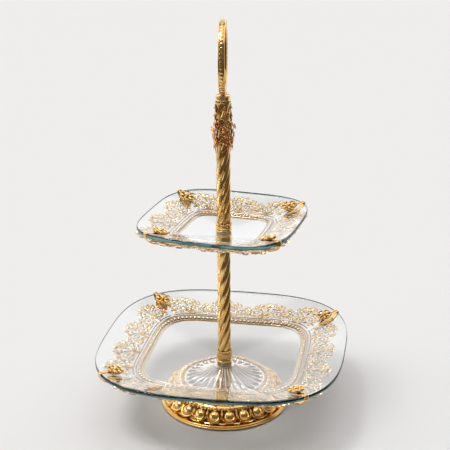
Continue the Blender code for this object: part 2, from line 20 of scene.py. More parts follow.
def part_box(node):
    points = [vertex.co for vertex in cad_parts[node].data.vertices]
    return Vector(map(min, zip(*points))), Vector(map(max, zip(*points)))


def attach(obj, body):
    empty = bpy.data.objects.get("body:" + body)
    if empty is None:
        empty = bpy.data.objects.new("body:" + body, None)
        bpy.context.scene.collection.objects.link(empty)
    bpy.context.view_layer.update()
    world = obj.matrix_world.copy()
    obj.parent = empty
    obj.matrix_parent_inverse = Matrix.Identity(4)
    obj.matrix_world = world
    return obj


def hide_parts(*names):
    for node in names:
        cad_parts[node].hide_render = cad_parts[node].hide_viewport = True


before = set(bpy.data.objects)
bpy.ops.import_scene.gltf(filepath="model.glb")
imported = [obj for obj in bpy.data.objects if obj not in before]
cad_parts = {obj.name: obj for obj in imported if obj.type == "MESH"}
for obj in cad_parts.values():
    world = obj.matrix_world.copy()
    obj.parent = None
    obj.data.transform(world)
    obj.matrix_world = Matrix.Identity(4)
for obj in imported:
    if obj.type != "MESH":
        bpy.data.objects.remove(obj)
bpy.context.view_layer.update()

Array = np.ndarray
MM = 0.001
TAU = math.tau
UP = np.array([0.0, 0.0, 1.0])
WELD = 2e-7                     # points nearer than this are one point
log = logging.getLogger("cake_stand")


class Slot(Enum):
    """The record's material slots."""

    GOLD = "polished_gold"
    CASTING = "cast_filigree"
    GLASS = "clear_glass"
    FELT = "felt"


class Side(Enum):
    """The four sides of a tier, each from one clip to the next."""

    BACK = 0
    LEFT = 1
    FRONT = 2
    RIGHT = 3


# --- Curves and grids ---------------------------------------------------------

def ease(low: float, high: float, value: Array) -> Array:
    """Rise smoothly from 0 to 1: three times the square of the share less twice its cube.

    Args:
        low: Value at which the rise starts.
        high: Value at which the rise ends; it may be below low, for a fall.
        value: Values to ease.

    Returns:
        The eased values.
    """
    share = np.clip((np.asarray(value, float) - low) / (high - low), 0.0, 1.0)
    return share * share * (3.0 - 2.0 * share)


def flow(knots: Sequence, count: int, closed: bool = False) -> Array:
    """Draw a Catmull-Rom curve: a cubic on each span, with slopes from its neighbours.

    Args:
        knots: Points that the curve passes through.
        count: How many points to return, evenly shared over the spans.
        closed: Whether the last knot leads back to the first.

    Returns:
        Points on the curve, one in each row.
    """
    knots = np.asarray(knots, float)
    if closed:
        padded = np.vstack([knots[-1:], knots, knots[:2]])
        spans = len(knots)
    else:
        padded = np.vstack([2 * knots[0] - knots[1], knots, 2 * knots[-1] - knots[-2]])
        spans = len(knots) - 1
    place = np.linspace(0.0, spans, count, endpoint=not closed)
    index = np.minimum(place.astype(int), spans - 1)
    t = (place - index)[:, None]
    a, b, c, d = (padded[index + k] for k in range(4))
    bend = (2 * a - 5 * b + 4 * c - d) * t**2 + (3 * b - a - 3 * c + d) * t**3
    return 0.5 * (2 * b + (c - a) * t + bend)


def unit(vectors: Array) -> Array:
    """Return the vectors at length one."""
    return vectors / np.maximum(np.linalg.norm(vectors, axis=-1, keepdims=True), 1e-12)


def outward(angle: Array) -> Array:
    """Return the directions away from the stem at some angles."""
    return np.stack([np.cos(angle), np.sin(angle), 0.0 * angle], -1)


def sideways(angle: Array) -> Array:
    """Return the directions round the stem at some angles."""
    return np.stack([-np.sin(angle), np.cos(angle), 0.0 * angle], -1)


def rounded_square(half: Array | float, exponent: float, angle: Array | float) -> Array:
    """Find the radius of a rounded square at some angles.

    It is the half side over the n-th root of the sum of the n-th powers of the cosine and
    the sine.

    Args:
        half: Half side.
        exponent: The power n: 2 gives a circle, and more squares it.
        angle: Angles about the stem.

    Returns:
        The radii.
    """
    powers = np.abs(np.cos(angle)) ** exponent + np.abs(np.sin(angle)) ** exponent
    return half / powers ** (1.0 / exponent)


def tube(path: Array, radius: Array | float, sides: int = 8, flat: float = 1.0,
         closed: bool = False, reference: Array = UP) -> Array:
    """Carry a round section along a path: centre, plus cosine across and sine upwards.

    Args:
        path: Points of the centre line.
        radius: Radius along the path, one number or one for each point.
        sides: Points round the section.
        flat: Height of the section as a share of its width.
        closed: Whether the path is a ring.
        reference: Direction that the section's height leans towards.

    Returns:
        A grid of points, rows along the path and columns round the section.
    """
    if closed:
        along = unit(np.roll(path, -1, 0) - np.roll(path, 1, 0))
    else:
        along = unit(np.gradient(path, axis=0))
    across = unit(np.cross(along, np.broadcast_to(reference, along.shape)))
    rise = np.cross(across, along)
    angle = np.linspace(0.0, TAU, sides, endpoint=False)[None, :, None]
    radius = np.broadcast_to(np.asarray(radius, float), (len(path),))[:, None, None]
    ring = np.cos(angle) * across[:, None] + flat * np.sin(angle) * rise[:, None]
    return path[:, None] + radius * ring


def turned(radii: Array, heights: Array) -> Array:
    """Turn closed sections about the stem: radius times cosine and sine, and the height.

    Args:
        radii: Radii, rows for the angles and columns round the section.
        heights: Heights of the same points.

    Returns:
        A grid of points, rows about the stem and columns round the section.
    """
    angle = np.linspace(0.0, TAU, radii.shape[0], endpoint=False)[:, None]
    heights = np.broadcast_to(heights, radii.shape)
    return np.stack([radii * np.cos(angle), radii * np.sin(angle), heights], -1)


def lathe(section: Array, low: float, count: int) -> Array:
    """Turn one section of radii and heights, the heights counted from low."""
    return turned(np.repeat(section[:, 0][None], count, 0), low + section[:, 1])


def leaf(rows: int = 7, sides: int = 8, point: float = 0.75, arch: float = 0.12,
         cup: float = 0.0, thick: float = 0.5) -> tuple[Array, Array]:
    """Draw a leaf or petal of length and half width one, lying along X.

    The half width is the sine of a skewed share of the length, the blade arches with a
    sine along its length, cups with the square across it, and is an oval in section.

    Args:
        rows: Sections along the leaf.
        sides: Points round each section.
        point: Below one the leaf is widest near its root, above one near its tip.
        arch: Rise of the middle above the two ends.
        cup: Rise of the edges above the crease.
        thick: Half thickness at the middle.

    Returns:
        The grid of points, and how sunken each point is from 0 to 1.
    """
    share = np.linspace(0.0, 1.0, rows)[:, None]
    angle = np.linspace(0.0, TAU, sides, endpoint=False)[None, :]
    wide = np.maximum(np.sin(math.pi * share**point), 0.0) ** 0.8
    y = wide * np.cos(angle)
    body = thick * np.sin(angle) * np.sqrt(wide)
    z = body + arch * np.sin(math.pi * share) + cup * y**2
    grid = np.stack([np.broadcast_to(share, y.shape), y, z], -1)
    # Painted shade: darker at the root and on the underside.
    sunk = (1.0 - ease(0.0, 0.35, share)) * 0.8 + 0.5 * (np.sin(angle) < -0.5)
    return grid, np.clip(np.broadcast_to(sunk, y.shape), 0.0, 1.0)


def ball(rows: int = 6, sides: int = 8) -> Array:
    """Draw a ball of radius one: sine and cosine of latitude and longitude.

    Args:
        rows: Rings from pole to pole, with both poles.
        sides: Points round each ring.

    Returns:
        The grid of points.
    """
    lat = np.linspace(-math.pi / 2, math.pi / 2, rows)[:, None]
    lon = np.linspace(0.0, TAU, sides, endpoint=False)[None, :]
    rim = np.cos(lat)
    return np.stack([rim * np.cos(lon), rim * np.sin(lon), np.sin(lat) + 0 * lon], -1)


# --- Building a piece -----------------------------------------------------------

@dataclass
class Shell:
    """The closed surfaces of one piece, gathered until they become its mesh."""

    points: list[Array] = field(default_factory=list)
    quads: list[Array] = field(default_factory=list)
    sunk: list[Array] = field(default_factory=list)
    count: int = 0

    def add(self, grid: Array, ring: bool = False, sunk: Array | float = 0.0) -> None:
        """Add one grid whose columns close on themselves.

        Args:
            grid: Points, rows along the surface and columns round it.
            ring: Whether the rows close too; otherwise both ends are capped.
            sunk: How sunken the points are from 0 to 1, which darkens the finish as painted shade.
        """
        self.copies(grid, np.zeros((1, 3)), *(np.eye(3)[k][None] for k in range(3)),
                    ring=ring, sunk=sunk)

    def copies(self, grid: Array, origins: Array, xs: Array, ys: Array, zs: Array,
               ring: bool = False, sunk: Array | float = 0.0) -> None:
        """Add a copy of a grid at each origin, stretched along three vectors.

        Args:
            grid: Points of the one that is copied, rows by columns.
            origins: Where each copy stands.
            xs: What one unit along X becomes, for each copy.
            ys: What one unit along Y becomes.
            zs: What one unit along Z becomes.
            ring: Whether the grid's rows close on themselves.
            sunk: How sunken the grid's points are.
        """
        rows, cols = grid.shape[:2]
        sunk = np.broadcast_to(np.asarray(sunk, float), (rows, cols))
        if not ring:
            ends = [np.repeat(grid[k].mean(0)[None, None], cols, 1) for k in (0, -1)]
            grid = np.concatenate([ends[0], grid, ends[1]])
            sunk = np.concatenate([sunk[:1], sunk, sunk[-1:]])
            rows += 2
        flat = grid.reshape(-1, 3)
        placed = origins[:, None] + sum(
            flat[None, :, k, None] * axis[:, None] for k, axis in enumerate((xs, ys, zs)))
        down = np.arange(rows if ring else rows - 1)[:, None]
        over = np.arange(cols)[None, :]
        after, right = (down + 1) % rows, (over + 1) % cols
        quads = np.stack([down * cols + over, down * cols + right,
                          after * cols + right, after * cols + over], -1).reshape(-1, 4)
        starts = self.count + np.arange(len(origins)) * rows * cols
        self.points.append(placed.reshape(-1, 3))
        self.quads.append((starts[:, None, None] + quads[None]).reshape(-1, 4))
        self.sunk.append(np.tile(sunk.reshape(-1), len(origins)))
        self.count += rows * cols * len(origins)

    def dots(self, shape: Array, spots: Array, size: Array | float,
             sunk: Array | float = 0.0) -> None:
        """Add upright copies of a shape.

        Args:
            shape: The grid that is copied.
            spots: Where the copies stand.
            size: How much they grow: one number, a column with one for each, or a row of
                three for X, Y and Z.
            sunk: How sunken the grid's points are.
        """
        size = np.broadcast_to(np.asarray(size, float), (len(spots), 3))
        self.copies(shape, spots, *(size[:, k:k + 1] * np.eye(3)[k] for k in range(3)),
                    sunk=sunk)

    def strew(self, shape: tuple[Array, Array], spots: Array) -> None:
        """Lay copies of a leaf flat, each from a row of numbers.

        Args:
            shape: A leaf's grid and how sunken it is.
            spots: Rows of x, y, z, heading, length, half width and tilt, in millimetres
                and degrees.
        """
        spots = np.asarray(spots, float) * (MM, MM, MM, 1.0, MM, MM, 1.0)
        heading, tilt = np.radians(spots[:, 3]), np.radians(spots[:, 6])
        flat = np.stack([np.cos(heading), np.sin(heading), 0 * heading], -1)
        side = np.stack([-np.sin(heading), np.cos(heading), 0 * heading], -1)
        along = flat * np.cos(tilt)[:, None] + UP * np.sin(tilt)[:, None]
        rise = np.cross(along, side)
        self.copies(shape[0], spots[:, :3], along * spots[:, 4:5], side * spots[:, 5:6],
                    rise * spots[:, 5:6], sunk=shape[1])

    def join(self, other: "Shell", place: Callable[[Array], Array]) -> None:
        """Add another shell with each of its points moved by a function.

        Args:
            other: The shell to add.
            place: Takes an array of points and returns where they go.
        """
        for points, quads, sunk in zip(other.points, other.quads, other.sunk):
            self.points.append(place(points))
            self.quads.append(quads + self.count)
            self.sunk.append(sunk)
        self.count += other.count

    def moved(self, place: Callable[[Array], Array]) -> "Shell":
        """Return a new shell with each point moved by a function.

        Args:
            place: Takes an array of points and returns where they go.

        Returns:
            The new shell.
        """
        shell = Shell()
        shell.join(self, place)
        return shell

    def build(self, name: str, finish: "Finish", body: str, slot: Slot,
              *nodes: str, crease: float = 50.0) -> bpy.types.Object:
        """Make the piece: weld its seams and poles, face it outwards and let it ride.

        Args:
            name: The piece's name.
            finish: What it is finished in.
            body: The CAD body that it rides on.
            slot: The record's slot of its finish; not used.
            nodes: The CAD nodes that it stands for.
            crease: Angle in degrees past which an edge is sharp.

        Returns:
            The finished object.
        """
        points, quads = np.vstack(self.points), np.vstack(self.quads)
        mesh = bpy.data.meshes.new(name)
        mesh.vertices.add(len(points))
        mesh.vertices.foreach_set("co", points.astype(np.float32).ravel())
        mesh.loops.add(quads.size)
        mesh.loops.foreach_set("vertex_index", quads.astype(np.int32).ravel())
        mesh.polygons.add(len(quads))
        mesh.polygons.foreach_set("loop_start", np.arange(0, quads.size, 4, dtype=np.int32))
        mesh.update(calc_edges=True)
        # The sunk attribute carries the painted shade that the gold finishes read.
        sunk = mesh.attributes.new("sunk", "FLOAT", "POINT")
        sunk.data.foreach_set("value", np.concatenate(self.sunk).astype(np.float32))
        work = bmesh.new()
        work.from_mesh(mesh)
        bmesh.ops.remove_doubles(work, verts=work.verts, dist=WELD)
        bmesh.ops.recalc_face_normals(work, faces=work.faces)
        work.to_mesh(mesh)
        work.free()
        mesh.shade_smooth()
        mesh.set_sharp_from_angle(angle=math.radians(crease))
        mesh.materials.append(finish.material())
        piece = bpy.data.objects.new(name, mesh)
        bpy.context.scene.collection.objects.link(piece)
        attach(piece, body)
        if nodes:
            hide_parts(*nodes)
        log.info("%s: %d faces on %s", name, len(mesh.polygons), body)
        return piece


# --- Finishes -------------------------------------------------------------------

@dataclass(frozen=True)
class Finish:
    """What every finish shares: a name and one Blender material for all its pieces."""

    name: str

    def material(self) -> bpy.types.Material:
        """Return the finish's material, and make it the first time.

        Returns:
            The one material that all pieces in this finish share.
        """
        made = bpy.data.materials.get(self.name)
        if made is None:
            made = bpy.data.materials.new(self.name)
            made.use_nodes = True
            self.dress(made.node_tree, made.node_tree.nodes["Principled BSDF"])
        return made

    def dress(self, tree: bpy.types.NodeTree, shader: bpy.types.Node) -> None:
        """Set the shader and the nodes that lead to it."""

    @staticmethod
    def noise(tree: bpy.types.NodeTree, scale: float, detail: float) -> bpy.types.Node:
        """Add a noise that reads the object's own coordinates.

        Args:
            tree: The material's nodes.
            scale: Waves to a metre.
            detail: Octaves of finer noise.

        Returns:
            The noise node.
        """
        place = tree.nodes.new("ShaderNodeTexCoord")
        noise = tree.nodes.new("ShaderNodeTexNoise")
        noise.inputs["Scale"].default_value = scale
        noise.inputs["Detail"].default_value = detail
        tree.links.new(place.outputs["Object"], noise.inputs["Vector"])
        return noise

    @staticmethod
    def span(tree: bpy.types.NodeTree, source: bpy.types.NodeSocket, low: float, high: float,
             first: float, last: float) -> bpy.types.NodeSocket:
        """Carry a value from one span to another.

        Args:
            tree: The material's nodes.
            source: The value's socket.
            low: Where the value's span starts.
            high: Where it ends.
            first: What low becomes.
            last: What high becomes.

        Returns:
            The socket of the carried value.
        """
        node = tree.nodes.new("ShaderNodeMapRange")
        for key, value in zip(("From Min", "From Max", "To Min", "To Max"),
                              (low, high, first, last)):
            node.inputs[key].default_value = value
        tree.links.new(source, node.inputs["Value"])
        return node.outputs["Result"]

    @staticmethod
    def blend(tree: bpy.types.NodeTree, share: bpy.types.NodeSocket,
              first: tuple | bpy.types.NodeSocket, last: tuple | bpy.types.NodeSocket,
              ) -> bpy.types.NodeSocket:
        """Mix two colours, each given as a colour or as a socket.

        Args:
            tree: The material's nodes.
            share: Socket of the mix, from 0 to 1.
            first: Colour where the share is 0.
            last: Colour where the share is 1.

        Returns:
            The socket of the mixed colour.
        """
        node = tree.nodes.new("ShaderNodeMix")
        node.data_type = "RGBA"
        tree.links.new(share, node.inputs[0])
        for index, colour in ((6, first), (7, last)):
            if isinstance(colour, tuple):
                node.inputs[index].default_value = (*colour, 1.0)
            else:
                tree.links.new(colour, node.inputs[index])
        return node.outputs[2]

    @staticmethod
    def bump(tree: bpy.types.NodeTree, shader: bpy.types.Node, height: bpy.types.NodeSocket,
             depth: float) -> None:
        """Let a height ruffle the surface.

        Args:
            tree: The material's nodes.
            shader: The shader whose normal is ruffled.
            height: Socket of the height, from 0 to 1.
            depth: Depth of the ruffles in metres.
        """
        node = tree.nodes.new("ShaderNodeBump")
        node.inputs["Strength"].default_value = 1.0
        node.inputs["Distance"].default_value = depth
        tree.links.new(height, node.inputs["Height"])
        tree.links.new(node.outputs["Normal"], shader.inputs["Normal"])


@dataclass(frozen=True)
class Plating(Finish):
    """Gold plating: polished, darkened towards a deep brown as painted shade where it is sunken.
    """

    tone: tuple = (0.86, 0.60, 0.25)
    warm: tuple = (0.90, 0.52, 0.17)
    # deep: the colour of the painted shade in sunken places
    deep: tuple = (0.16, 0.055, 0.012)
    rough: float = 0.07
    ruffle: float = 0.00003
    grain: float = 420.0

    def dress(self, tree: bpy.types.NodeTree, shader: bpy.types.Node) -> None:
        """Mix the tones by a slow noise, darken them by the depth as painted shade, and ruffle
        with a finer noise.

        Args:
            tree: The material's nodes.
            shader: Its Principled BSDF.
        """
        shader.inputs["Metallic"].default_value = 1.0
        slow = self.noise(tree, 38.0, 2.0).outputs["Fac"]
        fine = self.noise(tree, self.grain, 3.0).outputs["Fac"]
        sunk = tree.nodes.new("ShaderNodeAttribute")
        sunk.attribute_name = "sunk"
        tint = self.span(tree, slow, 0.35, 0.65, 0.0, 0.55)
        tone = self.blend(tree, tint, self.tone, self.warm)
        # Painted shade: the more sunken a point is, the nearer its colour is to deep.
        tone = self.blend(tree, self.span(tree, sunk.outputs["Fac"], 0.05, 1.0, 0.0, 0.92),
                          tone, self.deep)
        tree.links.new(tone, shader.inputs["Base Color"])
        rough = self.span(tree, fine, 0.3, 0.7, self.rough * 0.7, self.rough * 1.5)
        tree.links.new(rough, shader.inputs["Roughness"])
        self.bump(tree, shader, fine, self.ruffle)


@dataclass(frozen=True)
class ClearGlass(Finish):
    """Clear float glass, green through its depth, with the slow waves of slumping."""

    tint: tuple = (1.0, 1.0, 1.0)
    frost: float = 0.0
    absorbed: tuple = (0.35, 0.70, 0.66)
    density: float = 7.0
    waves: float = 0.00003

    def dress(self, tree: bpy.types.NodeTree, shader: bpy.types.Node) -> None:
        """Let light through, tint it by the way it goes, and wave the surface.

        Args:
            tree: The material's nodes.
            shader: Its Principled BSDF.
        """
        shader.inputs["Base Color"].default_value = (*self.tint, 1.0)
        shader.inputs["Transmission Weight"].default_value = 1.0
        shader.inputs["IOR"].default_value = 1.5
        slow = self.noise(tree, 14.0, 1.0).outputs["Fac"]
        smear = self.noise(tree, 90.0, 4.0).outputs["Fac"]
        tree.links.new(self.span(tree, smear, 0.45, 0.75, self.frost, self.frost + 0.02),
                       shader.inputs["Roughness"])
        self.bump(tree, shader, slow, self.waves)
        inside = tree.nodes.new("ShaderNodeVolumeAbsorption")
        inside.inputs["Color"].default_value = (*self.absorbed, 1.0)
        inside.inputs["Density"].default_value = self.density
        tree.links.new(inside.outputs["Volume"],
                       tree.nodes["Material Output"].inputs["Volume"])


@dataclass(frozen=True)
class Plain(Finish):
    """A hidden or matt finish: zinc-plated steel, a soft ring or pressed felt."""

    light: tuple = (0.6, 0.6, 0.58)
    dark: tuple = (0.4, 0.4, 0.39)
    metal: float = 0.0
    rough: float = 0.5
    grain: float = 900.0
    ruffle: float = 0.0001

    def dress(self, tree: bpy.types.NodeTree, shader: bpy.types.Node) -> None:
        """Mottle two tones and ruffle the surface with the same grain.

        Args:
            tree: The material's nodes.
            shader: Its Principled BSDF.
        """
        shader.inputs["Metallic"].default_value = self.metal
        grain = self.noise(tree, self.grain, 5.0).outputs["Fac"]
        tone = self.blend(tree, self.span(tree, grain, 0.35, 0.65, 0.0, 1.0),
                          self.dark, self.light)
        tree.links.new(tone, shader.inputs["Base Color"])
        tree.links.new(self.span(tree, grain, 0.3, 0.7, self.rough * 0.8, self.rough * 1.2),
                       shader.inputs["Roughness"])
        self.bump(tree, shader, grain, self.ruffle)


POLISHED = Plating("polished_gold_plating")
CAST = Plating("cast_gold_plating", tone=(0.92, 0.74, 0.49), warm=(0.90, 0.63, 0.36),
               rough=0.13, ruffle=0.00006, grain=700.0)
BAND = Plating("pale_cast_gold_plating", tone=(0.96, 0.82, 0.62), warm=(0.95, 0.74, 0.50),
               rough=0.16, ruffle=0.00006, grain=700.0)
SATIN = Plating("satin_gold_plating", tone=(0.96, 0.74, 0.52), warm=(0.94, 0.66, 0.42),
                deep=(0.42, 0.20, 0.09), rough=0.34, grain=700.0)
PALE = Plating("pale_gold_plating", tone=(0.96, 0.88, 0.80), warm=(0.96, 0.84, 0.74),
               deep=(0.05, 0.036, 0.04), rough=0.17, grain=700.0)
ROSY = Plating("reddish_gold_plating", tone=(0.95, 0.54, 0.24), warm=(0.84, 0.36, 0.12),
               deep=(0.10, 0.03, 0.01), rough=0.12, ruffle=0.00005, grain=900.0)
CLEAR = ClearGlass("clear_green_glass")
EDGE = ClearGlass("ground_green_edge", tint=(0.40, 0.56, 0.53), frost=0.22)
ZINC = Plain("zinc_plated_steel", metal=1.0, rough=0.34, ruffle=0.00003)
RING = Plain("soft_amber_ring", light=(0.90, 0.78, 0.52), dark=(0.78, 0.64, 0.40), rough=0.40)
FELT = Plain("pressed_brown_felt", light=(0.20, 0.16, 0.12), dark=(0.10, 0.08, 0.06),
             rough=0.95, grain=2200.0, ruffle=0.0004)


# --- The foot and the dome ------------------------------------------------------

@dataclass
class Foot:
    """The round foot: a rolled lip, a cove with balls in cups and darts, and leaves above."""

    bosses: int = 24
    ball_width: float = 6.3 * MM
    ball_height: float = 6.3 * MM
    ball_out: float = 3.7 * MM
    cup_reach: float = 8.3 * MM
    leaves: int = 36
    sides: int = 192

    def build(self) -> None:
        """Build the foot and the band of leaves on its shoulder."""
        low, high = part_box("foot_casting")
        self.wide, self.low, self.high = high.x, low.z, high.z
        shell = Shell()
        section = self.section()
        rise = section[:, 1] - self.low
        # Painted shade in the cove where the balls sit, between the lip and the shoulder.
        sunk = ease(4.8 * MM, 6.4 * MM, rise) * ease(21.5 * MM, 18.0 * MM, rise)
        sunk = sunk * (section[:, 0] > self.wide - 15.0 * MM)
        shell.add(lathe(section, 0.0, self.sides), ring=True, sunk=sunk[None])
        self.add_bosses(shell)
        shell.build("foot", POLISHED, "stand", Slot.GOLD, "foot_casting")
        self.build_leaves()

    def section(self) -> Array:
        """Draw the closed section, from the felt's seat round the lip to the opening.

        Returns:
            Rows of radius and height.
        """
        r, low, top = self.wide / MM, self.low / MM, self.high / MM
        outer = flow([(r - 7.5, low), (r - 2.0, low), (r - 0.4, low + 0.3), (r, low + 1.0),
                      (r - 0.4, low + 1.8), (r - 1.6, low + 2.2), (r - 1.2, low + 3.1),
                      (r - 2.0, low + 4.0), (r - 5.4, low + 4.5), (r - 7.4, low + 6.6),
                      (r - 9.0, low + 11.0), (r - 11.8, low + 15.5), (r - 15.4, top - 1.9),
                      (r - 17.0, top - 0.5), (r - 18.4, top), (r - 22.0, top)], 58)
        inner = np.array([(45.0, top), (45.0, top - 2.2), (r - 18.6, top - 2.6),
                          (r - 11.6, low + 11.0), (r - 8.5, low)])
        return np.vstack([outer, inner]) * MM

    def on_wall(self, angle: Array, along: float, out: float) -> Array:
        """Return points on the sloping wall.

        Args:
            angle: Angles about the stem.
            along: Distance up the wall from its middle.
            out: Distance off the wall.

        Returns:
            The points, one in each row.
        """
        lean, rise = -0.60, 0.80
        radius = self.wide - 10.2 * MM + lean * along + rise * out
        height = self.low + 13.0 * MM + rise * along - lean * out
        return outward(angle) * radius + UP * height

    def add_bosses(self, shell: Shell) -> None:
        """Add a ball, its cup, a dart beside it and three tongues above it, at each place.

        Args:
            shell: The foot's shell.
        """
        turns = TAU * np.arange(self.bosses) / self.bosses
        around, wall, outside = self.axes(turns)
        middle = self.on_wall(turns, -0.8 * MM, 0.1 * MM)
        shell.copies(ball(9, 14), middle, around * self.ball_width,
                     wall * self.ball_height, outside * self.ball_out)
        arc = outward(np.radians(np.linspace(-205.0, 25.0, 15))) * self.cup_reach
        fade = np.sin(np.linspace(0.12, math.pi - 0.12, 15)) ** 0.6
        cup = tube(arc, 1.35 * MM * fade, 6)
        shell.copies(cup, self.on_wall(turns, 0.4 * MM, 0.9 * MM), around, wall, outside)
        between = turns + TAU / self.bosses / 2
        side, climb, off = self.axes(between)
        shell.copies(leaf(7, 6, 1.5, 0.05, 0.0, 0.8)[0],
                     self.on_wall(between, 8.6 * MM, 0.4 * MM), climb * -14.0 * MM,
                     side * 1.6 * MM, off * -1.8 * MM, sunk=0.15)
        tongue, sunk = leaf(7, 8, 0.8, 0.2, -0.2, 0.4)
        for shift, up, wide in ((0.0, 11.8, 3.4), (-1.0, 11.2, 1.9), (1.0, 11.2, 1.9)):
            place = self.on_wall(turns + shift * TAU / self.bosses / 3.4, up * MM, -0.6 * MM)
            shell.copies(tongue, place, wall * -7.6 * MM, around * wide * MM,
                         outside * wide * MM, sunk=sunk)

    def axes(self, angle: Array) -> tuple[Array, Array, Array]:
        """Find the wall's own directions.

        Args:
            angle: Angles about the stem.

        Returns:
            The directions round the stem, up along the wall and off it.
        """
        around = sideways(angle)
        wall = unit(self.on_wall(angle, MM, 0.0) - self.on_wall(angle, 0.0, 0.0))
        return around, wall, np.cross(around, wall)

    def build_leaves(self) -> None:
        """Build the ring of pointed leaves between the foot and the dome."""
        low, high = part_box("foot_leaf_band")
        inner = high.x - 7.8 * MM
        shell = Shell()
        knots = np.array([(inner, low.z), (high.x, low.z), (high.x - 0.6 * MM, low.z + 1.2 * MM),
                          (high.x - 4.6 * MM, high.z - 1.4 * MM), (inner, high.z - 1.6 * MM)])
        # Painted shade: the ring under the leaves is darkened a little.
        shell.add(lathe(knots, 0.0, 144), ring=True, sunk=0.2)
        turns = TAU * np.arange(self.leaves) / self.leaves
        grid, sunk = leaf(9, 8, 0.9, 0.34, -0.25, 0.5)
        for shift, reach, wide, lift in ((0.0, 9.0, 3.0, -0.1), (0.5, 7.6, 2.3, -0.5)):
            angle = turns + shift * TAU / self.leaves
            out, side = outward(angle), sideways(angle)
            root = out * (inner + 0.5 * MM) + UP * (high.z - (1.3 - lift) * MM)
            fall = unit(out - 0.30 * UP)
            shell.copies(grid, root, fall * reach * MM, side * wide * MM,
                         np.cross(fall, side) * wide * MM, sunk=sunk)
        beads = TAU * (np.arange(2 * self.leaves) + 0.5) / (2 * self.leaves)
        ring = outward(beads) * (inner + 0.9 * MM) + UP * (high.z - 1.2 * MM)
        shell.dots(ball(5, 6), ring, 1.15 * MM)
        shell.build("foot_leaves", CAST, "stand", Slot.GOLD, "foot_leaf_band")


@dataclass
class Dome:
    """The trumpet-shaped dome, scooped into flutes that end in round tips."""

    flutes: int = 28
    scoop: float = 0.075        # depth of a flute as a share of its distance from the stem
    flute_wide: float = 0.80    # share of the pitch that a flute takes
    tip_start: float = 40.0 * MM
    tip_reach: float = 7.0 * MM
    neck: float = 12.0 * MM
    rise_power: float = 2.0
    sides: int = 12             # points across one flute

    def build(self) -> None:
        """Build the dome, from its scalloped rim up to the neck below the glass."""
        low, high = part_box("dome")
        rim, base, top, neck = high.x - 0.7 * MM, low.z, high.z, self.neck
        count = self.flutes * self.sides
        radii = np.concatenate([np.linspace(rim, self.tip_start, 16),
                                np.linspace(self.tip_start, neck + 0.4 * MM, 40)[1:]])
        share = (rim - radii) / (rim - neck)
        heights = base + 3.4 * MM + (top - base - 4.4 * MM) * share**self.rise_power
        phase = np.arange(count)[:, None] / self.sides % 1.0 * 2.0 - 1.0
        past = np.clip((radii - self.tip_start) / self.tip_reach, 0.0, None)[None]
        bowl = np.clip(1.0 - (phase / self.flute_wide) ** 2 - past**2, 0.0, 1.0)
        depth = np.minimum(self.scoop * radii, heights - base - 0.7 * MM)
        cut = depth[None] * bowl**0.8
        lean = np.arctan(-np.gradient(heights, radii))
        grid_r = radii[None] - cut * np.sin(lean)[None] * 0.8
        grid_z = heights[None] - cut * np.cos(lean)[None]
        outside = np.clip(phase**2 + past**2 - 1.0, 0.0, 1.0) * (past > 0)
        grid_z = grid_z - ease(0.0, 0.35, outside) * 0.5 * MM
        # Painted shade in the flutes, darkest in their round tips.
        tips = ease(36.0 * MM, 41.0 * MM, radii)[None]
        sunk = (0.8 + 0.2 * tips) * bowl ** (1.5 - 1.25 * tips)
        seat = [(neck, top - 0.7 * MM), (neck - 0.4 * MM, top), (3.5 * MM, top),
                (3.5 * MM, top - 10.5 * MM), (10.0 * MM, top - 10.5 * MM),
                (17.0 * MM, base + 4.4 * MM), (30.0 * MM, base + 1.6 * MM),
                (44.0 * MM, base), (rim, base)]
        seat_r, seat_z = np.array(seat).T
        shell = Shell()
        shell.add(turned(np.hstack([grid_r, np.repeat(seat_r[None], count, 0)]),
                         np.hstack([grid_z, np.repeat(seat_z[None], count, 0)])),
                  ring=True, sunk=np.hstack([sunk, np.zeros((count, len(seat)))]))
        shell.build("dome_fluted", PALE, "stand", Slot.GOLD, "dome")


# --- The stem -------------------------------------------------------------------

